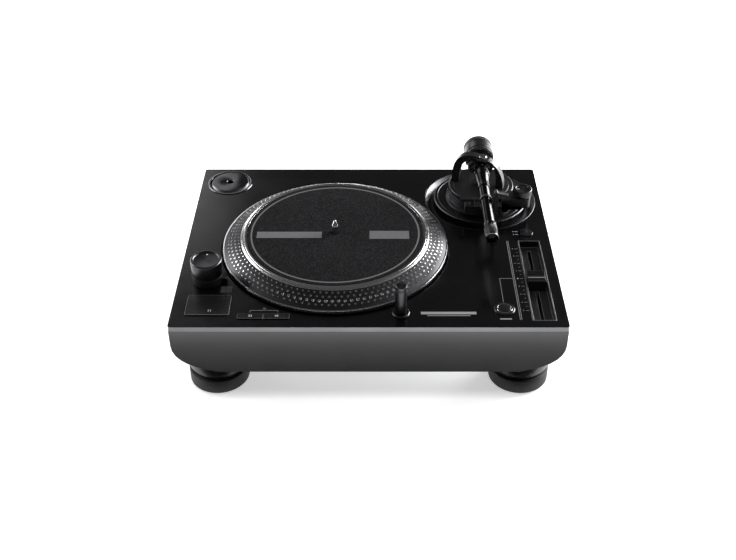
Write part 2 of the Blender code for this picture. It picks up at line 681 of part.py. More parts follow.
# ---------------------------------------------------------------- left-hand controls
def strobe():
    """The lamp tower with the power knob on its head. The lens looks at the platter's edge."""
    at = (*TOWER, TOP)
    top = TOWER_HEIGHT
    tower = [
        (0, top + KNOB_PIN), (KNOB_PIN_RADIUS, top + KNOB_PIN), (KNOB_PIN_RADIUS, top),
        (TOWER_RADIUS, top), (TOWER_RADIUS, GAP), (TOWER_SPIGOT, GAP),
        (TOWER_SPIGOT, -TOWER_BELOW), (0, -TOWER_BELOW),
    ]
    base = turned("strobe_tower", tower, BLACK_PLASTIC, at, steps=32)
    low = top + GAP
    bore = KNOB_PIN_RADIUS + GAP
    knob = [
        (0, low + KNOB_HEIGHT - 0.0012), (TOWER_RADIUS - 0.0028, low + KNOB_HEIGHT - 0.0012),
        (TOWER_RADIUS - 0.0022, low + KNOB_HEIGHT), (TOWER_RADIUS - 0.0008, low + KNOB_HEIGHT),
        (TOWER_RADIUS, low + KNOB_HEIGHT - 0.0008), (TOWER_RADIUS, low), (bore, low),
        (bore, top + KNOB_PIN + GAP), (0, top + KNOB_PIN + GAP),
    ]
    turned("power_knob", knob, BLACK_ALLOY, at, steps=32)
    reach = TOWER_RADIUS + LENS_DEPTH / 2
    seat = TOWER[0] + TOWER_RADIUS - LENS_SEAT
    half = LENS_WIDTH / 2
    under, over = TOP + LENS_RISE, TOP + LENS_RISE + LENS_HEIGHT
    lens = span((seat, TOWER[1] - half, under), (TOWER[0] + reach, TOWER[1] + half, over))
    pocket = span((seat - GAP, TOWER[1] - half - GAP, under - GAP),
                  (TOWER[0] + reach + 0.01, TOWER[1] + half + GAP, over + GAP))
    cut(base, pocket)
    place("strobe_lens", lens, CLEAR)


def buttons():
    low, high = TOP - BUTTON_DEEP, TOP + BUTTON_PROUD
    start = rounded(*START, START_WIDTH, START_DEPTH, 0.001, 1)
    place("start_stop_button", slab([start], low, high), BLACK_PLASTIC)
    for name, side in (("speed_button_33", -1), ("speed_button_45", 1)):
        x = SPEED_MIDDLE + side * (SPEED_WIDTH / 2 + GAP / 2)
        key = rounded(x, SPEED_Y, SPEED_WIDTH, SPEED_DEPTH, 0.0005, 1)
        place(name, slab([key], low, high), BLACK_PLASTIC)


def adapter():
    """The adapter for wide-hole records, and the cup in the plate that stores it."""
    at = (*ADAPTER, TOP)
    flange = CUP_OUTER + CUP_FLANGE
    cup = [
        (CUP_INNER, 0.0007), (flange - 0.0003, 0.0007), (flange, GAP), (CUP_OUTER, GAP),
        (CUP_OUTER, -CUP_DEPTH - CUP_WALL), (0.006, -CUP_DEPTH - CUP_WALL), (0.006, -CUP_DEPTH),
        (CUP_INNER, -CUP_DEPTH),
    ]
    turned("adapter_well", cup, CHROME, at, steps=36)
    bore = SPINDLE_RADIUS + 0.00005
    body = [
        (bore, ADAPTER_PROUD), (ADAPTER_FACE, ADAPTER_PROUD), (ADAPTER_RADIUS, -0.0004),
        (ADAPTER_RADIUS, -CUP_DEPTH + GAP), (bore, -CUP_DEPTH + GAP),
    ]
    turned("adapter_45", body, BLACK_ALLOY, at, steps=36)


# ---------------------------------------------------------------- front light and pitch controls
def target_light():
    at = (*LIGHT, TOP)
    inner = LIGHT_RADIUS + GAP
    collar = [
        (inner, COLLAR_HEIGHT), (COLLAR_RADIUS - 0.0006, COLLAR_HEIGHT),
        (COLLAR_RADIUS, COLLAR_HEIGHT - 0.0006), (COLLAR_RADIUS, GAP), (SOCKET_OUTER, GAP),
        (SOCKET_OUTER, -LIGHT_PLUG - 0.001), (inner, -LIGHT_PLUG - 0.001),
    ]
    turned("light_collar", collar, BLACK_ALLOY, at, steps=28)
    post = [
        (0, LIGHT_HEIGHT), (LIGHT_RADIUS - 0.0006, LIGHT_HEIGHT), (LIGHT_RADIUS, LIGHT_HEIGHT - 0.0006),
        (LIGHT_RADIUS, -LIGHT_PLUG), (0, -LIGHT_PLUG),
    ]
    turned("target_light", post, BLACK_ALLOY, at, steps=28)


def pitch_fader():
    x, y = FADER
    low = TOP - FADER_DEPTH - FADER_WALL
    box = block((FADER_WIDTH, FADER_LENGTH, TOP - low), (x, y, (TOP + low) / 2))
    tray = place("fader_tray", box, BLACK_PLASTIC)
    inside = (FADER_WIDTH - 2 * FADER_WALL, FADER_LENGTH - 2 * FADER_WALL, FADER_DEPTH)
    cut(tray, block(inside, (x, y, TOP - FADER_DEPTH / 2 + 0.00001)))
    cut(tray, block((FADER_SLOT, FADER_SLOT_LENGTH, 0.02), (x, y, low)))

    half = CAP_LENGTH / 2
    foot = -FADER_DEPTH + 0.0008
    saddle = [
        (-half, foot), (half, foot), (half - 0.0008, CAP_TOP - 0.0006), (half - 0.002, CAP_TOP),
        (0.0035, 0.0008), (0.0028, 0.0014), (-0.0028, 0.0014), (-0.0035, 0.0008), (-half + 0.002, CAP_TOP),
        (-half + 0.0008, CAP_TOP - 0.0006),
    ]
    side_on = (math.pi / 2, 0, math.pi / 2)
    shape = slab([saddle], -CAP_WIDTH / 2, CAP_WIDTH / 2)
    cap = place("fader_cap", shape, BLACK_PLASTIC, (x, y, TOP), side_on)
    stem_low = low - TRACK_HEIGHT / 2
    stem = span((x - CAP_STEM / 2, y - CAP_STEM_LENGTH / 2, stem_low),
                (x + CAP_STEM / 2, y + CAP_STEM_LENGTH / 2, TOP + foot + 0.001))
    join(cap, stem)

    track_top = low - GAP
    track = place(
        "fader_track",
        block((TRACK_WIDTH, FADER_SLOT_LENGTH + 0.008, TRACK_HEIGHT), (x, y, track_top - TRACK_HEIGHT / 2)),
        STEEL,
    )
    groove = span((x - FADER_SLOT, y - FADER_SLOT_LENGTH / 2, stem_low - 0.002),
                  (x + FADER_SLOT, y + FADER_SLOT_LENGTH / 2, track_top + 0.005))
    cut(track, groove)


def pitch_buttons():
    inner = RESET_RADIUS + GAP
    bezel = [
        (inner, RESET_RING_HEIGHT), (RESET_RING_RADIUS - 0.0008, RESET_RING_HEIGHT),
        (RESET_RING_RADIUS, GAP + 0.0002), (RESET_RING_RADIUS, GAP), (inner, GAP),
    ]
    turned("reset_ring", bezel, CHROME, (*RESET, TOP), steps=32)
    turned("reset_button", disc(RESET_RADIUS, -BUTTON_DEEP, 0.0018), BLACK_PLASTIC, (*RESET, TOP), steps=24)
    turned("range_button", disc(RANGE_RADIUS, -BUTTON_DEEP, 0.0014), BLACK_PLASTIC, (*RANGE, TOP), steps=24)


# ---------------------------------------------------------------- tonearm base
def arm_base():
    at = (ARM_X, ARM_Y, TOP)
    body = ARM_INSET_Y - PLINTH_INSET - PLINTH_WALL - 3 * GAP
    dish = [
        (DISH_RADIUS - 0.0008, 0), (DISH_RADIUS, -0.0006), (DISH_RADIUS, -PLATE_THICK + GAP),
        (body, -PLATE_THICK + GAP), (body, -DISH_DEPTH - DISH_FLOOR),
        (BASE_STEM_RADIUS + GAP, -DISH_DEPTH - DISH_FLOOR), (BASE_STEM_RADIUS + GAP, -DISH_DEPTH),
        (DISH_RADIUS - DISH_BEVEL, -DISH_DEPTH),
    ]
    turned("arm_well", dish, BLACK_ALLOY, at, steps=48)
    ring_inner = BASE_RADIUS + GAP
    collar = [
        (ring_inner, RING_TOP), (RING_RADIUS - 0.001, RING_TOP), (RING_RADIUS, RING_TOP - 0.001),
        (RING_RADIUS, -DISH_DEPTH + GAP), (ring_inner, -DISH_DEPTH + GAP),
    ]
    turned("height_ring", collar, BLACK_ALLOY, at, steps=48)
    waist = BASE_RADIUS - 0.004
    base = [
        (0, DECK_TOP), (DECK_RADIUS - 0.0008, DECK_TOP), (DECK_RADIUS, DECK_TOP - 0.0008),
        (DECK_RADIUS, DECK_TOP - 0.005), (waist - 0.002, DECK_TOP - 0.006), (waist - 0.002, 0.0105),
        (waist, 0.0098), (waist, RING_TOP + 0.0014), (BASE_RADIUS - 0.0006, RING_TOP + 0.0004),
        (BASE_RADIUS, RING_TOP - 0.0002), (BASE_RADIUS, -DISH_DEPTH + GAP),
        (BASE_STEM_RADIUS, -DISH_DEPTH + GAP), (BASE_STEM_RADIUS, -BASE_STEM), (0, -BASE_STEM),
    ]
    turned("arm_base", base, BLACK_PLASTIC, at, steps=36)


def limb(width, low, high, power, steps=12):
    """A quarter of a superellipse from the X axis up to the Z axis. A negative width goes left."""
    points = []
    for k in range(steps + 1):
        angle = math.pi / 2 * k / steps
        reach, rise = math.cos(angle) ** (2 / power), math.sin(angle) ** (2 / power)
        points.append((width * reach, low + (high - low) * rise))
    return points


def yoke():
    """The bridge over the pivot. It holds the upper bearing in its boss. Its left shoulder is the
    higher one and runs down to the boss."""
    low = DECK_TOP + GAP
    right = limb(YOKE_RIGHT, low, YOKE_HUB, 2.0)
    left = limb(-YOKE_LEFT, low, YOKE_TOP, 3.4)
    shoulder = [point for point in left if point[0] < -YOKE_BOSS_RADIUS]
    under_right = limb(YOKE_RIGHT_INNER, low, YOKE_INNER_TOP, 3.0)
    under_left = limb(-YOKE_LEFT_INNER, low, YOKE_INNER_TOP, 3.4)
    outline = right + shoulder[::-1] + under_left + under_right[-2::-1]
    turn = (math.pi / 2, 0, YOKE_TURN)
    at = (ARM_X, ARM_Y, TOP)
    piece = place("yoke", slab([outline], -YOKE_THICK / 2, YOKE_THICK / 2), BLACK_ALLOY, at, turn)
    boss = circle(0, 0, YOKE_BOSS_RADIUS, 24)
    join(piece, slab([boss], YOKE_INNER_TOP + YOKE_BOSS_STEP, YOKE_HUB), at)
    bore = circle(0, 0, CAP_SCREW_RADIUS + GAP, 16)
    cut(piece, slab([bore], YOKE_INNER_TOP - 0.01, YOKE_TOP + 0.01), at)
    gimbal_top = ARM_HEIGHT + GIMBAL_RISE
    screw = [
        (0, YOKE_HUB + CAP_SCREW_PROUD), (CAP_SCREW_RADIUS, YOKE_HUB + CAP_SCREW_PROUD),
        (CAP_SCREW_RADIUS, YOKE_INNER_TOP + 0.0012), (CAP_SCREW_PIN, YOKE_INNER_TOP + 0.0004),
        (CAP_SCREW_PIN, gimbal_top + GAP), (0, gimbal_top + GAP),
    ]
    turned("pivot_cap", screw, CHROME, at, steps=16)


def gimbal():
    """The ring that turns about the upright bearings and carries the arm's level pivots."""
    at = (TUBE_X, ARM_Y, ARM_Z)
    w, h, c = GIMBAL_HALF, GIMBAL_RISE, GIMBAL_CHAMFER
    upper = [(w, h - c), (w - c, h), (c - w, h), (-w, h - c)]
    outer = upper + [(-x, -z) for x, z in upper]
    inner = rounded(0, 0, 2 * (w - GIMBAL_BAR), 2 * (h - 0.002), 0.003, 1)
    ring_shape = slab([outer, inner], -GIMBAL_THICK / 2, GIMBAL_THICK / 2)
    piece = place("gimbal", ring_shape, BLACK_ALLOY, at, UPRIGHT)
    post_top = ARM_Z - GIMBAL_RISE + 0.001
    join(piece, rod(GIMBAL_POST_RADIUS, (ARM_X, ARM_Y, TOP + DECK_TOP + GAP), (ARM_X, ARM_Y, post_top), 16))
    bore = rod(SCREW_RADIUS + GAP, (TUBE_X - 0.03, ARM_Y, ARM_Z), (TUBE_X + 0.03, ARM_Y, ARM_Z), 16)
    cut(piece, bore)
    for name, side in (("pivot_screw_left", -1), ("pivot_screw_right", 1)):
        inner_end = TUBE_X + side * (BLOCK_WIDTH / 2 + GAP)
        outer_end = TUBE_X + side * (GIMBAL_HALF + SCREW_PROUD)
        length = abs(outer_end - inner_end)
        profile = [
            (0, length), (SCREW_RADIUS - 0.0003, length), (SCREW_RADIUS, length - 0.0003),
            (SCREW_RADIUS, 0.0015), (0.0004, 0), (0, 0),
        ]
        turned(name, profile, CHROME, (inner_end, ARM_Y, ARM_Z), (0, side * math.pi / 2, 0), 16)


# ---------------------------------------------------------------- tonearm
def tonearm():
    at = (TUBE_X, ARM_Y, ARM_Z)
    neck = 0.0056
    ring_radius = TUBE_RADIUS + CLIP_RING
    tube = [
        (0, TUBE_END), (TUBE_RADIUS, TUBE_END),
        (TUBE_RADIUS, CLIP_STATION + 0.002), (ring_radius, CLIP_STATION + 0.002),
        (ring_radius, CLIP_STATION - 0.002), (TUBE_RADIUS, CLIP_STATION - 0.002),
        (TUBE_RADIUS, CONE_END + 0.003), (neck + 0.0006, CONE_END + 0.003), (neck + 0.0006, CONE_END),
        (neck, CONE_END), (neck + 0.0008, CONE_END - 0.012), (CONE_RADIUS - 0.0004, CONE_START + 0.008),
        (CONE_RADIUS, CONE_START + 0.001), (CONE_RADIUS - 0.0006, CONE_START), (0, CONE_START),
    ]
    turned("arm_tube", tube, BLACK_ALLOY, at, AHEAD, 32)
    low, high = CONE_START - GAP, BLOCK_BACK
    half = BLOCK_WIDTH / 2
    block_mesh = span((-half, -low, -BLOCK_HEIGHT / 2), (half, high, BLOCK_HEIGHT / 2))
    place("pivot_block", block_mesh, BLACK_ALLOY, at)
    shaft = disc(SHAFT_RADIUS, BLOCK_BACK + GAP, SHAFT_END)
    turned("rear_shaft", shaft, STEEL, at, BEHIND, 24)

    bore = SHAFT_RADIUS + GAP
    dial = ring(bore, DIAL_RADIUS, DIAL_START, DIAL_START + DIAL_THICK)
    turned("force_dial", dial, BLACK_PLASTIC, at, BEHIND, 36)
    near = DIAL_START + DIAL_THICK + GAP
    far = near + WEIGHT_THICK
    weight = [
        (WEIGHT_RADIUS - WEIGHT_RECESS, far), (WEIGHT_RADIUS - 0.001, far), (WEIGHT_RADIUS, far - 0.001),
        (WEIGHT_RADIUS, near), (bore, near), (bore, far - WEIGHT_HOLLOW),
        (WEIGHT_RADIUS - WEIGHT_RECESS, far - WEIGHT_HOLLOW),
    ]
    turned("counterweight", weight, BLACK_ALLOY, at, BEHIND, 36)

    inside = LOCK_RADIUS - LOCK_WALL
    nut = [
        (inside, COLLAR_END), (LOCK_RADIUS - 0.0006, COLLAR_END), (LOCK_RADIUS, COLLAR_END - 0.0006),
        (LOCK_RADIUS, COLLAR_START), (inside, COLLAR_START),
    ]
    turned("locking_collar", nut, BLACK_ALLOY, at, AHEAD, 32)
    plug = disc(TUBE_RADIUS, TUBE_END + GAP, SOCKET_FACE)
    insert = turned("head_socket", plug, BLACK_PLASTIC, at, AHEAD, 24)
    for x in (TUBE_X - PIN_SPREAD, TUBE_X + PIN_SPREAD):
        for z in (ARM_Z - PIN_SPREAD, ARM_Z + PIN_SPREAD):
            start = (x, ARM_Y - SOCKET_FACE + 0.001, z)
            end = (x, ARM_Y - SOCKET_FACE - PIN_LENGTH, z)
            join(insert, rod(PIN_RADIUS, start, end, 8))


def arm_rest():
    """The bracket across the front of the deck, the lift that lowers the arm, and the parking rest."""
    back = ARM_Y - DECK_RADIUS - GAP
    front = back - BRACKET_DEPTH
    low, high = TOP + BRACKET_LOW, TOP + BRACKET_HIGH
    left, right = ARM_X - BRACKET_LEFT, ARM_X + BRACKET_RIGHT
    bracket = place("cue_bracket", span((left, front, low), (right, back, high)), BLACK_PLASTIC)
    post = (ARM_X - LIFT_POST_X, (front + back) / 2)
    cut(bracket, rod(LIFT_POST_RADIUS + GAP, (*post, low + 0.001), (*post, high + 0.01), 16))

    bar_top = TOP + LIFT_BAR_TOP
    bar = span((post[0] - LIFT_BAR / 2, post[1] - LIFT_BAR_DEPTH / 2, bar_top - LIFT_BAR_THICK),
               (post[0] + LIFT_BAR / 2, post[1] + LIFT_BAR_DEPTH / 2, bar_top))
    lift = place("cue_lift", bar, BLACK_PLASTIC)
    join(lift, rod(LIFT_POST_RADIUS, (*post, low + 0.001 + GAP), (*post, bar_top - 0.001), 16))

    hub_x = right + GAP + LEVER_HUB_RADIUS
    hub_z = (low + high) / 2
    lever_y = front + 0.003
    hub = rod(LEVER_HUB_RADIUS, (hub_x, front, hub_z), (hub_x, front + 2 * (lever_y - front), hub_z), 16)
    lever = place("cue_lever", hub, CHROME)
    join(lever, rod(LEVER_RADIUS, (hub_x, lever_y, hub_z), (hub_x + LEVER_LENGTH, lever_y, hub_z), 12))

    station = ARM_Y - CLIP_STATION
    shelf_top = ARM_Z - TUBE_RADIUS - CLIP_RING - 0.0004
    post_low = (ARM_X + REST_POST_X, station - REST_DEPTH / 2, low)
    post_high = (ARM_X + REST_POST_X + REST_POST_WIDTH, station + REST_DEPTH / 2, ARM_Z + REST_POST_RISE)
    rest = place("arm_rest", span(post_low, post_high), BLACK_PLASTIC)
    reach_high = (ARM_X + REST_POST_X + REST_POST_WIDTH - 0.0004, front - GAP, low + REST_ARM_THICK)
    join(rest, span((ARM_X + REST_POST_X + 0.0004, station, low + 0.0002), reach_high))
    shelf_low = (TUBE_X - 0.005, station - REST_DEPTH / 2 + 0.0005, shelf_top - REST_SHELF_THICK)
    join(rest, span(shelf_low, (ARM_X + REST_POST_X + 0.001, station + REST_DEPTH / 2 - 0.0005, shelf_top)))

    hub_x = ARM_X + REST_POST_X + REST_POST_WIDTH / 2
    hub_z = ARM_Z + REST_POST_RISE + GAP + CLIP_HUB_RADIUS
    half = REST_DEPTH / 2 - 0.0005
    clip = place("arm_clip", rod(CLIP_HUB_RADIUS, (0, -half, 0), (0, half, 0), 12), BLACK_PLASTIC,
                 (hub_x, station, hub_z), (0, -CLIP_OPEN, 0))
    arm = block((CLIP_LENGTH, 0.005, CLIP_THICK), (CLIP_LENGTH / 2, 0, 0))
    join(clip, arm, (hub_x, station, hub_z), (0, -CLIP_OPEN, 0))


def anti_skate():
    x, y = SKATE
    low, high = TOP + SKATE_HOUSING_LOW, TOP + DECK_TOP + SKATE_HOUSING_RISE
    middle = x + SKATE_HOUSING_RIGHT - SKATE_HOUSING_WIDTH / 2
    outline = rounded(middle, y, SKATE_HOUSING_WIDTH, SKATE_HOUSING_DEPTH, 0.004, 3)
    housing = place("antiskate_housing", slab([outline], low, high), BLACK_PLASTIC)
    cut(housing, slab([circle(ARM_X, ARM_Y, DECK_RADIUS + GAP, 48)], low - 0.01, high + 0.01))
    knob = [
        (0, SKATE_HEIGHT - 0.0008), (SKATE_RADIUS - 0.003, SKATE_HEIGHT - 0.0008),
        (SKATE_RADIUS - 0.0025, SKATE_HEIGHT), (SKATE_RADIUS - 0.0006, SKATE_HEIGHT),
        (SKATE_RADIUS, SKATE_HEIGHT - 0.0006), (SKATE_RADIUS, 0), (0, 0),
    ]
    turned("antiskate_knob", knob, BLACK_ALLOY, (x, y, high + GAP), steps=32)


top_plate()
plinth()
bottom_cover()
feet()
back_panel()
platter()
platter_well()
electronics()
strobe()
buttons()
adapter()
target_light()
pitch_fader()
pitch_buttons()
arm_base()
yoke()
gimbal()
tonearm()
arm_rest()
anti_skate()
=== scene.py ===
# %% [markdown]
# # A seven-inch turntable
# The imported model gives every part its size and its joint. This notebook gives each part its surface.
# Turned parts are profiles swept round an axis with numpy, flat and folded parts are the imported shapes
# with their edges broken, and each material starts from what the real one is and how it was made.

# %% Load the frame
import json
import math

import bmesh
import bpy
import numpy as np
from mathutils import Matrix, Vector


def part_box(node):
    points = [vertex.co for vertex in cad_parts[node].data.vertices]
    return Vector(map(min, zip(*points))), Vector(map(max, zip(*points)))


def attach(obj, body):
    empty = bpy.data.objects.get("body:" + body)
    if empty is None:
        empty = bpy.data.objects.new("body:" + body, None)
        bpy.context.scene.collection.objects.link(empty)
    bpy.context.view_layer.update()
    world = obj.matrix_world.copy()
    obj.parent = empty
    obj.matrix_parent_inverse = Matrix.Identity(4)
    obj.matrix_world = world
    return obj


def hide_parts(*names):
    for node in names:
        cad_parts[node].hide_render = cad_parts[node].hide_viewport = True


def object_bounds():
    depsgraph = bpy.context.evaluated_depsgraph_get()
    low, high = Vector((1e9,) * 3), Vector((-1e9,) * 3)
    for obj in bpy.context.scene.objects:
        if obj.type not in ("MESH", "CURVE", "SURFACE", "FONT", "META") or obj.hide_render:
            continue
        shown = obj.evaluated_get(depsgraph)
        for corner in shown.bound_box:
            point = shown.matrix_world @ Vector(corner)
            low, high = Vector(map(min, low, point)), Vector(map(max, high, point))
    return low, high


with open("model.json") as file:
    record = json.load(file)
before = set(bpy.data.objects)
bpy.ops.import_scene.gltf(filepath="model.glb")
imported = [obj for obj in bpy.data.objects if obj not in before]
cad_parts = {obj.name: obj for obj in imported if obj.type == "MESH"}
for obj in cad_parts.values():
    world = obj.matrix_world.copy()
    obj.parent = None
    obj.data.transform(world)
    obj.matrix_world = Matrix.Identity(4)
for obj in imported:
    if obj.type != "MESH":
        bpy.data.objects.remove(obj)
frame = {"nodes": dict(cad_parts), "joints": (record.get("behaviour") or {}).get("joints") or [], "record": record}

cad_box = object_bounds()
nodes = frame["nodes"]
MM = 0.001

# %% [markdown]
# ## Places
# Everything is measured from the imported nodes: the plate's top, the platter's axis, the tonearm's
# upright pivot and the axis of its tube. Nothing here is typed in twice.

# %% Read the main places from the frame
joints = {joint["name"]: joint for joint in frame["joints"]}
node_body = {name: body for body, names in frame["record"]["behaviour"]["bodies"].items() for name in names}
node_slot = {part["node"]: part["material_slot"] for part in frame["record"]["subparts"]}


def middle(node):
    """The middle of a node's box."""
    low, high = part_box(node)
    return (np.array(low) + np.array(high)) / 2


def upright(node):
    """A round upright part's radius, its lowest and highest corners, and its axis at the floor."""
    low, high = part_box(node)
    return (high.x - low.x) / 2, low, high, (*middle(node)[:2], 0)


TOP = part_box("top_plate")[1].z
PLATTER = np.array(joints["platter_spin"]["pos_m"])
ARM = np.array(joints["arm_swing"]["pos_m"])
TUBE = np.array(joints["arm_tilt"]["pos_m"])
BEARING = (*PLATTER[:2], TOP)    # where the platter's axis meets the plate
ARM_FOOT = (*ARM[:2], 0)         # where the arm's upright axis meets the floor
print("plate top", TOP, "platter at", PLATTER[:2], "arm pivot at", ARM)

# %% [markdown]
# ## Colour and nodes
# Colours are written the way a paint chip is read, as sRGB hex, and turned into the linear values
# that a shader adds up. One function adds a node, sets it and links it.

# %% Colour and node helpers
def linear(hex_colour):
    """sRGB to linear: c / 12.92 below 0.04045, else ((c + 0.055) / 1.055) to the power 2.4."""
    c = np.array([int(hex_colour[i : i + 2], 16) for i in (0, 2, 4)]) / 255
    low, high = c / 12.92, ((c + 0.055) / 1.055) ** 2.4
    return (*np.where(c <= 0.04045, low, high).tolist(), 1.0)


def add(tree, kind, inputs=None, **settings):
    """Adds one node. inputs maps a socket to a value, or to another node's output, which is linked."""
    node = tree.nodes.new(kind)
    for key, value in settings.items():
        setattr(node, key, value)
    for key, value in (inputs or {}).items():
        if isinstance(value, bpy.types.NodeSocket):
            tree.links.new(value, node.inputs[key])
        else:
            node.inputs[key].default_value = value
    return node


def new_material(name, **constants):
    """A Principled material. Its constants go straight onto the shader's own sockets."""
    made = bpy.data.materials.new(name)
    made.use_nodes = True
    tree = made.node_tree
    shader = tree.nodes["Principled BSDF"]
    for key, value in constants.items():
        shader.inputs[key.replace("_", " ")].default_value = value
    return made, tree, shader


# A Mix node that is set to colour has its two colours and its result at these places.
MIX_A, MIX_B, MIX_OUT = 6, 7, 2
print("white in linear light:", linear("ffffff")[:3])

# %% [markdown]
# ## Painted and moulded surfaces
# Powder coat, satin lacquer and moulded ABS all have a fine relief: orange peel in paint, spark
# texture in plastic. It breaks up a highlight long before it shows as a pattern. Grain sizes are real
# ones, and where a grain is too fine to show it is drawn a little coarser.

# %% A satin finish with a fine relief
def satin(name, colour, rough, grain, relief, metallic=0.0, vary=0.12, coat=0.0, smudge=0.06):
    """Noise of one grain size moves the colour by +-vary and lifts the surface by relief; a second
    noise, thirty millimetres across, moves the roughness by +-smudge, as handling does."""
    made, tree, shader = new_material(name, Metallic=metallic, Coat_Weight=coat, Coat_Roughness=0.2)
    place = add(tree, "ShaderNodeTexCoord").outputs["Object"]
    fine = add(tree, "ShaderNodeTexNoise", {"Vector": place, "Scale": 1 / grain, "Detail": 2.0})
    wide = add(tree, "ShaderNodeTexNoise", {"Vector": place, "Scale": 1 / (30 * MM), "Detail": 3.0})
    base = np.array(linear(colour)[:3])
    ramp = add(tree, "ShaderNodeMix", {"Factor": fine.outputs["Fac"],
                                       MIX_A: (*(base * (1 - vary)).tolist(), 1),
                                       MIX_B: (*(base * (1 + vary)).tolist(), 1)}, data_type="RGBA")
    tree.links.new(ramp.outputs[MIX_OUT], shader.inputs["Base Color"])
    spread = add(tree, "ShaderNodeMapRange", {"Value": wide.outputs["Fac"], "From Min": 0.3, "From Max": 0.7,
                                              "To Min": rough - smudge, "To Max": rough + smudge})
    tree.links.new(spread.outputs["Result"], shader.inputs["Roughness"])
    bump = add(tree, "ShaderNodeBump", {"Height": fine.outputs["Fac"], "Distance": relief, "Strength": 0.6})
    tree.links.new(bump.outputs["Normal"], shader.inputs["Normal"])
    return made


# Powder-coated aluminium sheet: near black, satin, with a peel of about half a millimetre.
plate_coat = satin("powder_coated_aluminium", "020203", 0.22, 0.5 * MM, 0.002 * MM, smudge=0.03)
# Satin lacquer on the moulded plinth, a little lighter than the plate.
plinth_coat = satin("satin_lacquer", "444446", 0.34, 0.4 * MM, 0.003 * MM, coat=1.0)
# Moulded ABS with a fine spark texture, on knobs, brackets and keys.
abs_black = satin("moulded_abs", "131314", 0.36, 0.3 * MM, 0.004 * MM)
# Glossier ABS for the keys that are pressed and the fader's tray.
abs_key = satin("polished_abs", "0f0f10", 0.26, 0.3 * MM, 0.002 * MM)
# Nitrile rubber, dull and slightly grey where it is handled.
foot_rubber = satin("nitrile_rubber", "1f1f20", 0.62, 0.6 * MM, 0.02 * MM, vary=0.2)
# Zinc-plated steel sheet under the case.
zinc_sheet = satin("zinc_plated_steel", "8c8d90", 0.42, 1.5 * MM, 0.004 * MM, metallic=1.0, vary=0.18)
# Epoxy board, ferrite and enamelled copper, seen only when the deck is opened.
epoxy_board = satin("epoxy_board", "1c4a2c", 0.45, 0.8 * MM, 0.004 * MM)
ferrite = satin("sintered_ferrite", "2c2c2d", 0.6, 0.5 * MM, 0.01 * MM)
# Silk-screen ink, white with a warm grey cast, lying dull on the coat.
screen_ink = satin("screen_ink", "b9b9b8", 0.55, 0.2 * MM, 0.001 * MM, vary=0.05)
dark_ink = satin("grey_screen_ink", "6e6e6e", 0.55, 0.2 * MM, 0.001 * MM, vary=0.05)
print("satin finishes:", len(bpy.data.materials))

# %% [markdown]
# ## Turned and spun metal
# A lathe leaves a groove that runs round the part, so a highlight on it fans out like a bow tie.
# The profile's own UV map gives both directions: u runs round, v runs along the profile in metres.
# Noise stretched along u draws the grooves, and the shader's anisotropy bends the highlight.

# %% A turned finish that follows the lathe's grooves
def spun(name, colour, rough, pitch, relief, stretch=0.5, metallic=1.0, contrast=0.15):
    """Height is noise at (u * 6, v / pitch): long round the part, one pitch wide across it."""
    made, tree, shader = new_material(name, Metallic=metallic, Anisotropic=stretch)
    sheet = add(tree, "ShaderNodeUVMap", uv_map="turned").outputs["UV"]
    lines = add(tree, "ShaderNodeMapping", {"Vector": sheet, "Scale": (6.0, 1 / pitch, 1.0)})
    groove = add(tree, "ShaderNodeTexNoise", {"Vector": lines.outputs["Vector"], "Scale": 1.0, "Detail": 3.0})
    base = np.array(linear(colour)[:3])
    ramp = add(tree, "ShaderNodeMix", {"Factor": groove.outputs["Fac"],
                                       MIX_A: (*(base * (1 - contrast)).tolist(), 1),
                                       MIX_B: (*(base * (1 + contrast)).tolist(), 1)}, data_type="RGBA")
    tree.links.new(ramp.outputs[MIX_OUT], shader.inputs["Base Color"])
    spread = add(tree, "ShaderNodeMapRange", {"Value": groove.outputs["Fac"], "To Min": rough - 0.05,
                                              "To Max": rough + 0.08})
    tree.links.new(spread.outputs["Result"], shader.inputs["Roughness"])
    bump = add(tree, "ShaderNodeBump", {"Height": groove.outputs["Fac"], "Distance": relief, "Strength": 0.5})
    tree.links.new(bump.outputs["Normal"], shader.inputs["Normal"])
    round_way = add(tree, "ShaderNodeTangent", direction_type="UV_MAP", uv_map="turned")
    tree.links.new(round_way.outputs["Tangent"], shader.inputs["Tangent"])
    return made


# Die-cast aluminium turned bright: the platter's rim and lip.
bright_alloy = spun("bright_turned_aluminium", "c9c9ca", 0.20, 0.25 * MM, 0.004 * MM, 0.4)
# The band under the strobe dots is the same turned aluminium made darker: painted shade for the dark it reflects.
painted_shade_band = spun("grey_anodised_aluminium", "48484a", 0.36, 0.4 * MM, 0.006 * MM, 0.3)
# Black-anodised aluminium, turned: the adapter, rings, knobs and the tonearm.
black_alloy = spun("black_anodised_aluminium", "4a4a4c", 0.30, 0.3 * MM, 0.004 * MM, 0.5)
adapter_alloy = spun("spun_black_aluminium", "5a5a5c", 0.22, 0.12 * MM, 0.003 * MM, 0.92)
arm_black = spun("gloss_black_tube", "29292b", 0.16, 0.6 * MM, 0.002 * MM, 0.2)
# Chrome plate over brass: it shows only the room, with hairline polishing marks.
chrome = spun("chrome_plate", "d4d5d8", 0.10, 0.5 * MM, 0.001 * MM, 0.1, contrast=0.04)
dark_chrome = spun("black_chrome", "707174", 0.15, 0.3 * MM, 0.002 * MM, 0.3)
# A pale satin metal for the plate's cut edge: a painted highlight that stands for the front light on it.
painted_light_edge = satin("bead_blasted_aluminium", "8e8f91", 0.42, 0.3 * MM, 0.006 * MM, metallic=1.0)
print("turned finishes ready:", bright_alloy.name, black_alloy.name)

# %% [markdown]
# ## Felt
# A slipmat is pressed wool felt. Fibres a few hundredths of a millimetre thick lie every way, so it has no
# direction and no shine except a soft bloom at grazing angles. Paler fibres lie here and there.

# %% Pressed felt with a printed ring
RING_RADIUS = 84.2 * MM


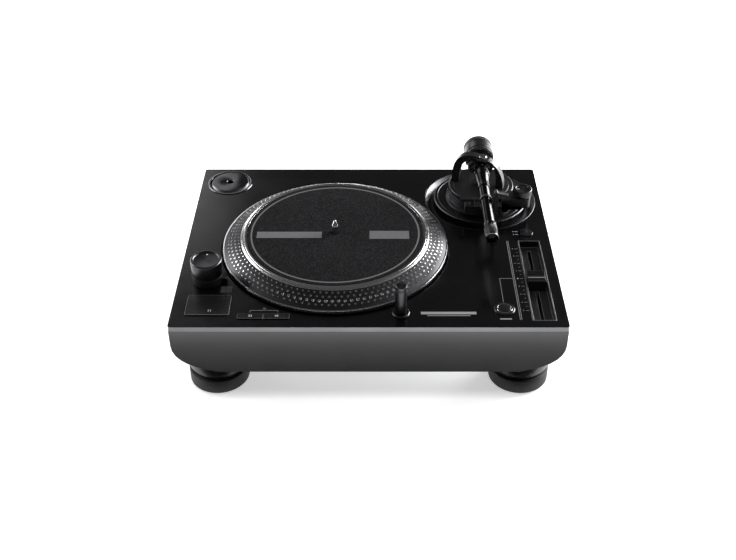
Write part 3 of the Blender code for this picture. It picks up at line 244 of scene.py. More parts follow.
def felt():
    """Speckle is noise above 0.5; the printed ring is where the distance to the spindle is near
    RING_RADIUS; the height is two noises, one of fibres and one of the uneven nap."""
    made, tree, shader = new_material("pressed_wool_felt", Roughness=0.95, Specular_IOR_Level=0.1)
    place = add(tree, "ShaderNodeTexCoord").outputs["Object"]
    # Drawn far coarser than the real fibres so that it shows.
    fibre = add(tree, "ShaderNodeTexNoise", {"Vector": place, "Scale": 1 / (0.9 * MM), "Detail": 4.0,
                                             "Roughness": 0.75})
    nap = add(tree, "ShaderNodeTexNoise", {"Vector": place, "Scale": 1 / (5 * MM), "Detail": 2.0})
    speckle = add(tree, "ShaderNodeMapRange", {"Value": fibre.outputs["Fac"], "From Min": 0.5,
                                               "From Max": 0.64})
    wool = add(tree, "ShaderNodeMix", {"Factor": speckle.outputs["Result"], MIX_A: linear("060607"),
                                       MIX_B: linear("323234")}, data_type="RGBA")
    centre = add(tree, "ShaderNodeMapping", {"Vector": place, "Location": (-PLATTER[0], -PLATTER[1], 0.0),
                                             "Scale": (1.0, 1.0, 0.0)})
    away = add(tree, "ShaderNodeVectorMath", {0: centre.outputs["Vector"]}, operation="LENGTH")
    off = add(tree, "ShaderNodeMath", {0: away.outputs["Value"], 1: RING_RADIUS}, operation="SUBTRACT")
    off = add(tree, "ShaderNodeMath", {0: off.outputs["Value"]}, operation="ABSOLUTE")
    inked = add(tree, "ShaderNodeMapRange", {"Value": off.outputs["Value"], "From Min": 0.7 * MM,
                                             "From Max": 0.95 * MM, "To Min": 0.85, "To Max": 0.0})
    printed = add(tree, "ShaderNodeMix", {"Factor": inked.outputs["Result"], MIX_A: wool.outputs[MIX_OUT],
                                          MIX_B: linear("5e5e5f")}, data_type="RGBA")
    tree.links.new(printed.outputs[MIX_OUT], shader.inputs["Base Color"])
    height = add(tree, "ShaderNodeMath", {0: fibre.outputs["Fac"], 1: nap.outputs["Fac"]}, operation="ADD")
    bump = add(tree, "ShaderNodeBump", {"Height": height.outputs["Value"], "Distance": 0.25 * MM,
                                        "Strength": 0.8})
    tree.links.new(bump.outputs["Normal"], shader.inputs["Normal"])
    return made


wool_felt = felt()
lamp_lens, _, lens_shader = new_material("tinted_acrylic", Roughness=0.08, Coat_Weight=0.6)
lens_shader.inputs["Base Color"].default_value = linear("121213")
print("felt:", wool_felt.name)

# %% [markdown]
# ## Surfaces
# A turned part is a profile swept round an axis. Sharp corners on a real part are always broken by a
# small radius, and that radius is what catches the light, so every profile is softened first.

# %% Profiles and sweeping
AXES = {
    "up": np.array([[1, 0, 0], [0, 1, 0], [0, 0, 1]]),
    "ahead": np.array([[1, 0, 0], [0, 0, -1], [0, 1, 0]]),
    "behind": np.array([[1, 0, 0], [0, 0, 1], [0, -1, 0]]),
    "right": np.array([[0, 0, 1], [0, 1, 0], [-1, 0, 0]]),
    "left": np.array([[0, 0, -1], [0, 1, 0], [1, 0, 0]]),
}


def softened(points, radius, closed, steps=3):
    """Every corner becomes a quadratic curve between the points a and b, which lie on its two sides:
    (1 - t)^2 a + 2 t (1 - t) corner + t^2 b. a and b are radius away, or 0.45 of a short side."""
    points = np.array(points, float)
    ends = []
    for other in (np.roll(points, 1, axis=0), np.roll(points, -1, axis=0)):
        side = other - points
        length = np.linalg.norm(side, axis=1, keepdims=True)
        ends.append(points + side / np.maximum(length, 1e-9) * np.minimum(radius, 0.45 * length))
    t = np.linspace(0, 1, steps + 1)[None, :, None]
    curve = (1 - t) ** 2 * ends[0][:, None] + 2 * t * (1 - t) * points[:, None] + t**2 * ends[1][:, None]
    if closed:
        return curve.reshape(-1, 2)
    return np.vstack([points[:1], curve[1:-1].reshape(-1, 2), points[-1:]])


def swept(name, profile, centre, axis="up", around=96, ribs=0, depth=0.0, ribbed=None, soft=0.2 * MM):
    """Sweeps (radius, height) round an axis: x = r cos a, y = r sin a, z = height. Where ribbed is
    true of a height, the radius gains depth * cos(ribs * a), which makes a knurl."""
    closed = profile[0][0] > 0
    line = softened(profile, soft, closed)
    radius, height = line[:, 0], line[:, 1]
    if closed:
        radius, height = np.append(radius, radius[0]), np.append(height, height[0])
    angle = np.arange(around) * 2 * np.pi / around
    r = np.repeat(radius[:, None], around, axis=1)
    if ribs:
        on = ribbed(radius, height)[:, None]
        r = r + np.where(on, depth * np.cos(ribs * angle)[None, :], 0.0)
    level = np.repeat(height[:, None], around, axis=1)
    grid = np.stack([r * np.cos(angle), r * np.sin(angle), level], axis=-1)
    points = grid.reshape(-1, 3) @ AXES[axis].T + np.array(centre)
    rows = len(radius)
    i, j = np.meshgrid(np.arange(rows - 1), np.arange(around), indexing="ij")
    k = (j + 1) % around
    faces = np.stack([i * around + j, (i + 1) * around + j, (i + 1) * around + k, i * around + k], axis=-1)
    along = np.append(0, np.cumsum(np.hypot(np.diff(radius), np.diff(height))))
    u = np.stack([j, j, j + 1, j + 1], axis=-1) / around
    v = np.stack([along[i], along[i + 1], along[i + 1], along[i]], axis=-1)
    return surface(name, points, faces.reshape(-1, 4), np.stack([u, v], axis=-1).reshape(-1, 2))


def surface(name, points, faces, uv=None):
    """A mesh from arrays. Coinciding points, as at a pole or a seam, are merged."""
    mesh = bpy.data.meshes.new(name)
    mesh.from_pydata(points, [], faces.tolist())
    if uv is not None:
        layer = mesh.uv_layers.new(name="turned")
        layer.data.foreach_set("uv", uv.astype(np.float32).ravel())
    work = bmesh.new()
    work.from_mesh(mesh)
    bmesh.ops.remove_doubles(work, verts=work.verts, dist=1e-7)
    work.to_mesh(mesh)
    work.free()
    return mesh


def finished(name, mesh, finish, body, stands_for=(), sharp=32):
    """Puts a mesh in the scene as a piece that rides on a body."""
    piece = bpy.data.objects.new(name, mesh)
    bpy.context.scene.collection.objects.link(piece)
    mesh.materials.clear()
    mesh.materials.append(finish)
    mesh.shade_smooth()
    mesh.set_sharp_from_angle(angle=math.radians(sharp))
    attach(piece, body)
    if stands_for:
        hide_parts(*stands_for)
    return piece


def turned(node, profile, finish, centre, axis="up", **how):
    """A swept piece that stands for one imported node."""
    mesh = swept(node + "_turned", profile, centre, axis, **how)
    return finished(node + "_turned", mesh, finish, node_body[node], [node])


def trim(name, mesh, finish, body):
    """A small piece that goes with a body, such as a screw or a printed mark."""
    return finished(name, mesh, finish, body)


def disc(radius, low, high):
    """The profile of a plain disc."""
    return [(0, high), (radius, high), (radius, low), (0, low)]


def ring(inner, outer, low, high):
    """The profile of a plain ring."""
    return [(inner, high), (outer, high), (outer, low), (inner, low)]


print("a softened square has", len(softened([(0, 0), (1, 0), (1, 1), (0, 1)], 0.1, True)), "points")

# %% [markdown]
# ## Broken edges
# A plate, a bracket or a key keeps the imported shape. Its copy is merged, its flat faces are joined,
# and a bevel of a few tenths of a millimetre breaks each edge, because that is where satin black
# plastic shows its shape at all.

# %% Copy a node and break its edges
def edged(node, finish, width, steps=2, sharp=32, edge_finish=None):
    """The node's own shape with every edge over 25 degrees bevelled. edge_finish, where it is given,
    goes on the bevels alone."""
    mesh = nodes[node].data.copy()
    mesh.name = node + "_edged"
    work = bmesh.new()
    work.from_mesh(mesh)
    bmesh.ops.remove_doubles(work, verts=work.verts, dist=1e-6)
    bmesh.ops.dissolve_limit(work, angle_limit=math.radians(1), verts=work.verts, edges=work.edges)
    work.to_mesh(mesh)
    work.free()
    piece = finished(node + "_edged", mesh, finish, node_body[node], [node], sharp)
    bevel = piece.modifiers.new("edge", "BEVEL")
    bevel.width = width
    bevel.segments = steps
    bevel.limit_method = "ANGLE"
    bevel.angle_limit = math.radians(25)
    bevel.harden_normals = True
    if edge_finish:
        mesh.materials.append(edge_finish)
        bevel.material = 1
    return piece


# %% [markdown]
# ## The case
# The plate is a five-millimetre sheet, powder coated on top, its cut edge given a pale metal as a painted
# highlight for the front light on it. The plinth under it is lacquered, and turns under in a long curve.

# %% Plate, plinth and bottom
plate = edged("top_plate", plate_coat, 0.35 * MM)
# The upright faces round the plate's outside, picked by their normals, take the pale metal: painted highlight.
plate.data.materials.append(painted_light_edge)
normal = np.zeros(len(plate.data.polygons) * 3)
centre = np.zeros(len(plate.data.polygons) * 3)
plate.data.polygons.foreach_get("normal", normal)
plate.data.polygons.foreach_get("center", centre)
normal, centre = normal.reshape(-1, 3), centre.reshape(-1, 3)
low, high = (np.array(corner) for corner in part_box("top_plate"))
outer = np.abs(centre[:, :2] - (low + high)[:2] / 2) > (high - low)[:2] / 2 - 4 * MM
rim = (np.abs(normal[:, 2]) < 0.5) & outer.any(axis=1)
plate.data.polygons.foreach_set("material_index", rim.astype(np.int32))
edged("plinth", plinth_coat, 0.5 * MM, sharp=24)
edged("bottom_cover", zinc_sheet, 0.3 * MM)
edged("back_panel", abs_black, 0.2 * MM)
edged("power_inlet", abs_key, 0.25 * MM)
print("plate edge faces left bright:", int(rim.sum()))

# %% [markdown]
# ## Feet
# Each foot is an alloy cap over a rubber pad, with a waist between them where fingers turn it.

# %% Turn the feet
FOOT_PAD, FOOT_WAIST = 16 * MM, 22 * MM
for node in [f"foot_{end}_{side}" for end in ("front", "rear") for side in ("left", "right")]:
    r, low, high, spot = upright(node)
    cap_top = high.z - 10 * MM
    pad = [(0, FOOT_PAD), (r - 3 * MM, FOOT_PAD), (r, FOOT_PAD - 0.4 * MM), (r, 1.5 * MM), (r - 1.5 * MM, 0),
           (0, 0)]
    turned(node, pad, foot_rubber, spot, around=96, soft=0.8 * MM)
    waist = swept(node + "_waist", disc(r - 2.8 * MM, FOOT_PAD + 0.02 * MM, FOOT_WAIST - 0.02 * MM), spot)
    trim(node + "_waist", waist, abs_black, node)
    cap = [(0, high.z), (9 * MM, high.z), (9 * MM, cap_top), (r - 2 * MM, cap_top), (r, cap_top - 2 * MM),
           (r, FOOT_WAIST), (0, FOOT_WAIST)]
    trim(node + "_cap", swept(node + "_cap", cap, spot, soft=0.6 * MM), black_alloy, node)

# %% [markdown]
# ## Platter
# The platter is cast and turned. Its bright rim has a fine groove, the sloping band carries four rows
# of raised strobe dots, and the lip is a bright line. The third row is the one read at normal speed,
# and its dots are the largest. Each dot is a shallow cap of only a few faces, because there are
# hundreds of them.

# %% Turn the platter
edge, low, high, _ = upright("platter")
rim_z = high.z - TOP
skirt = low.z - TOP
LIP_Z = 4.5 * MM
LIP_WIDTH, BAND_WIDTH, RIM_WIDTH = 1.4 * MM, 17.3 * MM, 5.3 * MM
lip_r = edge - LIP_WIDTH
rim_r = lip_r - BAND_WIDTH
bed = rim_z - 2.3 * MM
bed_r = rim_r - RIM_WIDTH
bore = 3.9 * MM
groove = rim_z - 0.35 * MM
body_line = [
    (bore, bed), (bed_r, bed), (bed_r, rim_z), (rim_r - 3.0 * MM, rim_z), (rim_r - 2.7 * MM, groove),
    (rim_r - 2.3 * MM, groove), (rim_r - 2.0 * MM, rim_z), (rim_r - 1.2 * MM, rim_z),
    (rim_r, rim_z - 1.0 * MM), (rim_r + 0.3 * MM, rim_z - 1.2 * MM), (rim_r + 0.3 * MM, bed - 5 * MM),
    (bore, bed - 5 * MM),
]
turned("platter", body_line, bright_alloy, BEARING, around=256, soft=0.12 * MM)
# The band is drawn in the darker aluminium, which is painted shade.
band_in, band_out = rim_r + 0.35 * MM, lip_r - 0.2 * MM
band_line = [(band_in, rim_z - 1.25 * MM), (band_out, LIP_Z + 0.1 * MM), (band_out, LIP_Z - 4 * MM),
             (band_in, rim_z - 6 * MM)]
trim("platter_band", swept("platter_band", band_line, BEARING, around=256, soft=0.05 * MM),
     painted_shade_band, "platter")
lip_line = ring(lip_r - 0.15 * MM, edge, skirt, LIP_Z)
lip_line[1] = (edge, LIP_Z - 0.3 * MM)
trim("platter_lip", swept("platter_lip", lip_line, BEARING, around=256, soft=0.25 * MM),
     bright_alloy, "platter")
print("platter radius", round(edge / MM, 1), "mm, rim", round(rim_r / MM, 1), "mm")

# %% Strobe dots
DOTS = 108
ROWS = ((2.6, 1.05, 0.0), (6.7, 1.15, 0.5), (11.0, 1.55, 0.0), (15.0, 1.15, 0.5))  # place, radius, stagger
DOT_RISE = 0.45 * MM
CAP_SIDES = 10
SHOULDER = 0.75      # a cap's upper ring, as a share of its radius
BAND_TOP = rim_z - 1 * MM


def dots():
    """A cap is three rings at radii 1, SHOULDER and 0 of its size, lifted by -0.3, 0.8 and 1 of its
    rise along the slope's normal. All caps of a row are turned about the platter's axis at once."""
    slope = np.array([lip_r - rim_r, LIP_Z - BAND_TOP])
    slope = slope / np.linalg.norm(slope)
    outward = np.array([-slope[1], slope[0]])
    a = np.arange(CAP_SIDES)
    b = (a + 1) % CAP_SIDES
    sides = a * 2 * np.pi / CAP_SIDES
    reach = np.concatenate([np.full(CAP_SIDES, 1.0), np.full(CAP_SIDES, SHOULDER), [0.0]])
    lift = np.concatenate([np.full(CAP_SIDES, -0.3), np.full(CAP_SIDES, 0.8), [1.0]])
    sweep = np.concatenate([sides, sides, [0.0]])
    skirt_faces = np.stack([a, b, b + CAP_SIDES, a + CAP_SIDES], axis=1)
    top_faces = np.stack([a + CAP_SIDES, b + CAP_SIDES, np.full(CAP_SIDES, 2 * CAP_SIDES)], axis=1)
    points = []
    for distance, radius, shift in ROWS:
        turn = (np.arange(DOTS) + shift) * 2 * np.pi / DOTS
        along = distance * MM + radius * MM * reach * np.cos(sweep)
        across = radius * MM * reach * np.sin(sweep)
        rise = DOT_RISE * lift
        r = rim_r + along * slope[0] + rise * outward[0]
        z = BAND_TOP + along * slope[1] + rise * outward[1]
        x = r[None] * np.cos(turn)[:, None] - across[None] * np.sin(turn)[:, None]
        y = r[None] * np.sin(turn)[:, None] + across[None] * np.cos(turn)[:, None]
        points.append(np.stack([x, y, np.broadcast_to(z, x.shape)], axis=-1).reshape(-1, 3))
    points = np.concatenate(points) + np.array(BEARING)
    start = np.arange(len(ROWS) * DOTS)[:, None, None] * (2 * CAP_SIDES + 1)
    walls = (start + skirt_faces[None]).reshape(-1, 4).tolist()
    tops = (start + top_faces[None]).reshape(-1, 3).tolist()
    bases = (start + a[::-1][None, None]).reshape(-1, CAP_SIDES).tolist()
    mesh = bpy.data.meshes.new("strobe_dots")
    mesh.from_pydata(points, [], walls + tops + bases)
    return mesh


dot_alloy = satin("polished_dot_aluminium", "c4c4c5", 0.24, 0.3 * MM, 0.001 * MM, metallic=1.0, vary=0.05)
trim("strobe_dots", dots(), dot_alloy, "platter")
print("strobe dots:", len(ROWS) * DOTS)

# %% [markdown]
# ## Slipmat and spindle
# The felt's cut edge is rounded by its own thickness and its top is not quite flat.

# %% Lay the mat and turn the spindle
r, low, high, _ = upright("slipmat")
MAT_TOP = high.z
turned("slipmat", ring(bore, r, low.z - TOP, MAT_TOP - TOP), wool_felt, BEARING, around=192, soft=0.7 * MM)
r, low, high, _ = upright("spindle")
spindle_line = [
    (0, high.z), (0.9 * MM, high.z - 0.4 * MM), (r, MAT_TOP + 8.6 * MM), (r, low.z), (0, low.z),
]
turned("spindle", spindle_line, chrome, (*PLATTER[:2], 0), around=48, soft=0.5 * MM)
print("spindle stands", round((high.z - MAT_TOP) / MM, 1), "mm above the mat")

# %% [markdown]
# ## Lamp tower and power knob
# The knob is turned, with a thin rim round a sunken face, and the rim is what catches the light. It
# sits on a moulded tower whose small lamp window looks at the strobe dots.

# %% Turn the knob, the tower and the lamp
FACE_SINK = 1.2 * MM
r, low, high, spot = upright("power_knob")
face = high.z - FACE_SINK
knob_line = [
    (0, face), (r - 2.9 * MM, face), (r - 2.2 * MM, high.z), (r - 0.8 * MM, high.z), (r, high.z - 0.9 * MM),
    (r, low.z + 0.6 * MM), (r - 0.5 * MM, low.z), (0, low.z),
]
turned("power_knob", knob_line, black_alloy, spot, soft=0.25 * MM)
edged("strobe_tower", abs_black, 0.3 * MM)
edged("strobe_lens", lamp_lens, 0.4 * MM)
pointer = swept("power_pointer", disc(0.8 * MM, 0, 0.08 * MM), (spot[0], spot[1] + 9 * MM, face), around=24)
trim("power_pointer", pointer, screen_ink, "power_knob")
print("knob is", round(2 * r / MM, 1), "mm across")

# %% [markdown]
# ## Buttons
# The keys are moulded. Their broken edges are wide for their size and carry a paler finish, a painted
# highlight that draws them as a pale frame, while the top is a satin black.

# %% Break the edges of the keys
# A paler, half-metallic finish for the bevels: a painted highlight that stands for light caught on the broken
# edges.
painted_highlight_edge = satin("worn_abs_edge", "6d6d6f", 0.30, 0.3 * MM, 0.002 * MM, metallic=0.5)
for node, width in (("start_stop_button", 0.45), ("speed_button_33", 0.3), ("speed_button_45", 0.3)):
    edged(node, abs_key, width * MM, edge_finish=painted_highlight_edge)
r, low, high, spot = upright("reset_button")
dome = [(0, high.z), (r * 0.6, high.z - 0.15 * MM), (r, high.z - 0.6 * MM), (r, low.z), (0, low.z)]
turned("reset_button", dome, abs_key, spot, soft=0.5 * MM, around=64)
outer, low, high, _ = upright("reset_ring")
bore_r = r + 0.3 * MM
collar_line = [(bore_r, high.z), (outer - 0.8 * MM, high.z), (outer, low.z + 0.2 * MM), (outer, low.z),
               (bore_r, low.z)]
turned("reset_ring", collar_line, abs_key, spot, around=64)
glints = (("reset_inner_glint", bore_r, r + 1.3 * MM, high.z + 0.1 * MM, chrome),
          ("reset_outer_glint", outer - 0.5 * MM, outer, TOP + 0.6 * MM, dark_chrome))
for name, inside, outside, lift, finish in glints:
    glint = swept(name, ring(inside, outside, low.z + 0.1 * MM, lift), spot, around=64)
    trim(name, glint, finish, "chassis")
r, low, high, spot = upright("range_button")
cap_line = [(0, high.z), (r * 0.62, high.z - 0.1 * MM), (r, high.z - 0.5 * MM), (r, low.z), (0, low.z)]
turned("range_button", cap_line, abs_key, spot, soft=0.5 * MM, around=64)

# %% [markdown]
# ## Wide-hole adapter and its cup
# The adapter is a spun disc. Its face is finished by a tool that runs straight in from the edge, so
# the grooves are very fine and the highlight opens into fans.

# %% Turn the adapter and its cup
r, low, high, spot = upright("adapter_45")
hole = 3.65 * MM
adapter_line = [
    (hole, high.z - 0.6 * MM), (hole + 0.6 * MM, high.z), (r - 2.1 * MM, high.z), (r, TOP - 0.4 * MM),
    (r, low.z), (hole, low.z),
]
turned("adapter_45", adapter_line, adapter_alloy, spot, around=128, soft=0.15 * MM)
outer, low, high, _ = upright("adapter_well")
cup_in, cup_out = r + 0.6 * MM, r + 1.6 * MM
cup_floor, drain = low.z + 1 * MM, 6 * MM
cup_line = [
    (cup_in, high.z), (outer - 0.3 * MM, high.z), (outer, TOP + 0.3 * MM), (cup_out, TOP + 0.3 * MM),
    (cup_out, low.z), (drain, low.z), (drain, cup_floor), (cup_in, cup_floor),
]
turned("adapter_well", cup_line, dark_chrome, spot, around=128, soft=0.12 * MM)
print("adapter", round(2 * r / MM, 1), "mm across")

# %% [markdown]
# ## Target light
# The light is a slim turned post that pushes into a collar. A lamp window faces the platter.

# %% Turn the light and its collar
r, low, high, spot = upright("target_light")
waist = r - 0.25 * MM
post_line = [
    (0, high.z), (r - 0.6 * MM, high.z), (r, high.z - 0.6 * MM), (r, high.z - 4.0 * MM),
    (waist, high.z - 4.3 * MM), (waist, high.z - 4.9 * MM), (r, high.z - 5.2 * MM), (r, low.z), (0, low.z),
]
turned("target_light", post_line, black_alloy, spot, around=64, soft=0.3 * MM)
print("light stands", round((high.z - TOP) / MM, 1), "mm high")
outer, low, high, _ = upright("light_collar")
sleeve, wall, flange = r + 0.3 * MM, r + 1.2 * MM, TOP + 0.3 * MM
nut_line = [
    (sleeve, high.z), (outer - 0.7 * MM, high.z), (outer, high.z - 0.7 * MM), (outer, flange), (wall, flange),
    (wall, low.z), (sleeve, low.z),
]
turned("light_collar", nut_line, black_alloy, spot, around=64)

# %% [markdown]
# ## Pitch fader
# A sunken tray, a slot and a saddle-shaped cap. The cap's grip is ribbed and its middle carries a
# white line.

# %% Finish the fader
# The tray's bevels take the same painted highlight, which stands for light caught on its edges.
edged("fader_tray", abs_black, 0.3 * MM, edge_finish=painted_highlight_edge)
edged("fader_cap", abs_key, 0.3 * MM, steps=3)
low, high = (np.array(corner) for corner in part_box("fader_cap"))
fader = middle("fader_tray")
SQUARE = [(0, 0), (1, 0), (1, 1), (0, 1)]
BOX_CORNERS = np.array([(x, y, z) for z in (0, 1) for x, y in SQUARE])
BOX_SIDES = np.array([[0, 3, 2, 1], [4, 5, 6, 7], [0, 1, 5, 4], [1, 2, 6, 5], [2, 3, 7, 6], [3, 0, 4, 7]])


def corners_of(spans):
    """The eight corners of each span, which is a low and a high corner: every mix of the two."""
    spans = np.array(spans, float)
    return np.stack([spans[:, BOX_CORNERS[:, k], k] for k in range(3)], axis=-1)


def six_sided(name, corners):
    """Blocks as one mesh, from eight corners each in the order of BOX_CORNERS."""
    faces = (np.arange(len(corners))[:, None, None] * 8 + BOX_SIDES[None]).reshape(-1, 4)
    return surface(name, corners.reshape(-1, 3), faces)


def flat_box(x, y, width, depth, base, rise):
    """The span of a box of a width and depth about (x, y) that stands on a height."""
    return (x - width / 2, y - depth / 2, base), (x + width / 2, y + depth / 2, base + rise)


def printed(name, spans, finish, body="chassis", slot="plate_black"):
    """Puts flat boxes on a body as one printed mark."""
    return trim(name, six_sided(name, corners_of(spans)), finish, body)


INK = 0.06 * MM
index = flat_box(fader[0], fader[1], high[0] - low[0] - 1.2 * MM, 0.9 * MM, TOP + 1.35 * MM, 0.12 * MM)
printed("fader_index", [index], dark_ink, "fader_cap", "black_plastic")
print("fader cap", np.round((high - low)[:2] / MM, 1), "mm")

# %% [markdown]
# ## Tonearm base
# A dished ring sinks into the plate, a knurled ring turns inside it to set the height, and the deck
# stands in the middle on a stepped column. All of it is turned or moulded round one upright axis.

# %% Turn the dish, the ring and the column
cast_black = satin("cast_black_alloy", "2a2a2c", 0.30, 0.4 * MM, 0.004 * MM, metallic=0.6)


def ribs_outside(limit):
    """True where the profile is further out than a limit, so that only the outer wall is knurled."""
    return lambda radius, height: radius > limit


r, low, high, _ = upright("arm_well")
NECK, DISH_HOLE = 53.6 * MM, 31 * MM
dish, under = TOP - 6.5 * MM, TOP - 4.8 * MM
well_line = [
    (r - 0.8 * MM, TOP), (r, TOP - 0.6 * MM), (r, under), (NECK, under), (NECK, low.z), (DISH_HOLE, low.z),
    (DISH_HOLE, dish), (r - 6.8 * MM, dish),
]
turned("arm_well", well_line, black_alloy, ARM_FOOT, around=192, soft=0.25 * MM)
r, low, high, _ = upright("height_ring")
print("height ring", round(2 * r / MM, 1), "mm across, 160 ribs")
RING_BORE = 37.6 * MM
line_z = high.z - 0.35 * MM
ring_line = [
    (RING_BORE, high.z), (r - 4.6 * MM, high.z), (r - 4.3 * MM, line_z), (r - 3.9 * MM, line_z),
    (r - 3.6 * MM, high.z), (r - 1.0 * MM, high.z), (r, high.z - 1.0 * MM), (r, low.z), (RING_BORE, low.z),
]
turned("height_ring", ring_line, black_alloy, ARM_FOOT, around=960, ribs=160, depth=0.16 * MM,
       ribbed=ribs_outside(r - 0.5 * MM))
r, low, high, _ = upright("arm_base")
DECK, WAIST, STEP, STUB = 34.5 * MM, 31.3 * MM, 33.3 * MM, 30.7 * MM
line_z, foot_z = high.z - 0.3 * MM, TOP - 6.2 * MM
column = [
    (0, high.z), (DECK - 5.2 * MM, high.z), (DECK - 4.9 * MM, line_z), (DECK - 4.5 * MM, line_z),
    (DECK - 4.2 * MM, high.z), (DECK - 0.8 * MM, high.z), (DECK, high.z - 0.8 * MM), (DECK, high.z - 5 * MM),
    (WAIST, high.z - 6 * MM), (WAIST, TOP + 10.5 * MM), (STEP, TOP + 9.8 * MM), (STEP, TOP + 4.4 * MM),
    (r - 0.6 * MM, TOP + 3.4 * MM), (r, TOP + 2.8 * MM), (r, foot_z), (STUB, foot_z), (STUB, low.z),
    (0, low.z),
]
turned("arm_base", column, cast_black, ARM_FOOT, around=160, soft=0.35 * MM)

# %% [markdown]
# ## Yoke and gimbal
# The bridge is a die casting with soft corners. The gimbal ring turns between its two upright
# bearings, and two pointed screws carry the arm inside the ring.

# %% Finish the bridge, the ring and the screws
edged("yoke", cast_black, 1.1 * MM, steps=4, sharp=40)
edged("gimbal", cast_black, 0.5 * MM, steps=3)
edged("pivot_block", cast_black, 0.6 * MM, steps=3)
r, low, high, _ = upright("pivot_cap")
POINT = 1.5 * MM
screw_line = [(0, high.z), (r - 0.5 * MM, high.z), (r, high.z - 0.5 * MM), (r, low.z + 3 * MM),
              (POINT, low.z + 2 * MM), (POINT, low.z), (0, low.z)]
turned("pivot_cap", screw_line, chrome, ARM_FOOT, around=64)
# The screw's slot is not cut. A thin black box on the cap's top is painted shade for the dark inside the slot.
slot_shade_box = flat_box(ARM[0], ARM[1], 2 * r - 1.4 * MM, 0.8 * MM, high.z - 0.02 * MM, 0.05 * MM)
printed("pivot_cap_slot", [slot_shade_box], abs_black, "arm_base", "black_plastic")
for side in ("left", "right"):
    node = f"pivot_screw_{side}"
    low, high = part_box(node)
    r = (high.z - low.z) / 2
    start = high.x if side == "left" else low.x
    length = high.x - low.x
    pin = [(0, length), (r - 0.3 * MM, length), (r, length - 0.3 * MM), (r, 1.5 * MM), (0.4 * MM, 0), (0, 0)]
    turned(node, pin, chrome, (start, ARM[1], TUBE[2]), side, around=48, soft=0.15 * MM)
print("gimbal axis at", np.round(TUBE, 4))

# %% [markdown]
# ## Arm tube
# The tube is drawn, blacked and polished. It starts in a cone at the pivot, wears a guard ring where
# it parks, and ends in the bayonet collar for a head shell.

# %% Turn the arm from the pivot forwards
def in_mm(profile):
    """A profile that is written in millimetres: (radius, distance ahead of the pivot)."""
    return [(radius * MM, distance * MM) for radius, distance in profile]


tube_line = in_mm([
    (0, 112.9), (5.1, 112.9), (5.1, 44.7), (6.0, 44.5), (6.2, 44.1), (6.2, 41.9), (6.0, 41.5), (5.6, 41.4),
    (6.0, 36.0), (6.7, 29.5), (7.5, 22.0), (7.8, 16.0), (7.6, 11.0), (6.9, 7.6), (5.8, 5.6), (0, 5.6),
])
turned("arm_tube", tube_line, arm_black, TUBE, "ahead", around=96, soft=0.35 * MM)
guard = swept("arm_guard_ring", in_mm(ring(5.12, 6.2, 64.2, 67.8)), TUBE, "ahead", around=96, soft=0.3 * MM)
trim("arm_guard_ring", guard, abs_black, "tonearm")
turned("head_socket", in_mm(disc(5.05, 113.2, 128.4)), abs_black, TUBE, "ahead", around=64, soft=0.3 * MM)
gold = spun("gold_plated_pin", "c9a24a", 0.2, 0.2 * MM, 0.001 * MM)
PIN_SPREAD = 1.8 * MM
pin_line = in_mm([(0, 129.9), (0.5, 129.7), (0.5, 128.2), (0, 128.2)])
for x in (-1, 1):
    for z in (-1, 1):
        spot = (TUBE[0] + x * PIN_SPREAD, TUBE[1], TUBE[2] + z * PIN_SPREAD)
        pin = swept("contact_pin", pin_line, spot, "ahead", around=16, soft=0.1 * MM)
        trim(f"contact_pin_{x + 1}{z + 1}", pin, gold, "tonearm")
nut_line = in_mm([
    (5.4, 134.9), (5.9, 134.9), (6.45, 134.4), (6.45, 131.6), (6.3, 131.5), (6.3, 117.8), (6.45, 117.7),
    (6.45, 112.0), (5.9, 110.9), (5.4, 110.9),
])
turned("locking_collar", nut_line, arm_black, TUBE, "ahead", around=480, ribs=60, depth=0.07 * MM,
       ribbed=lambda radius, height: (radius > 6.2 * MM) & (radius < 6.36 * MM), soft=0.1 * MM)
lip = swept("collar_lip", in_mm(ring(5.35, 6.5, 134.0, 134.9)), TUBE, "ahead", around=96, soft=0.2 * MM)
trim("collar_lip", lip, dark_chrome, "locking_collar")

# %% [markdown]
# ## Behind the pivot
# The weight screws along its shaft. The dial in front of it carries the ticks of the tracking-force
# scale and slides with the weight, whose rear rim is knurled for the fingers.

# %% Turn the shaft, the dial and the weight
SHAFT_BORE = 4.9 * MM


def behind(node):
    """A part on the arm's axis behind the pivot: its radius, and where it starts and ends."""
    low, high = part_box(node)
    return (high.z - low.z) / 2, low.y - TUBE[1], high.y - TUBE[1]


_, near, far = behind("rear_shaft")
turned("rear_shaft", disc(4.6 * MM, near, far), dark_chrome, TUBE, "behind", around=64, soft=0.4 * MM)
r, near, far = behind("force_dial")
dial_line = ring(SHAFT_BORE, r, near, far)
dial_line[1] = (r - 0.2 * MM, far)
turned("force_dial", dial_line, abs_black, TUBE, "behind", around=128, soft=0.3 * MM)


def dial_ticks(count, outer, inner, y, rise):
    """Tick k is a thin box, longer on every fifth, turned by its angle a about the arm's axis:
    x = across cos a - along sin a, z = across sin a + along cos a."""
    turn = np.arange(count)[:, None] * 2 * np.pi / count
    lengths = (outer - inner) * np.where(np.arange(count) % 5 == 0, 1.0, 0.6)
    marks = [flat_box(0, outer - length / 2, 0.35 * MM, length, 0, rise) for length in lengths]
    across, along, up = np.moveaxis(corners_of(marks), -1, 0)
    x = TUBE[0] + across * np.cos(turn) - along * np.sin(turn)
    z = TUBE[2] + across * np.sin(turn) + along * np.cos(turn)
    return six_sided("dial_ticks", np.stack([x, y - up, z], axis=-1))


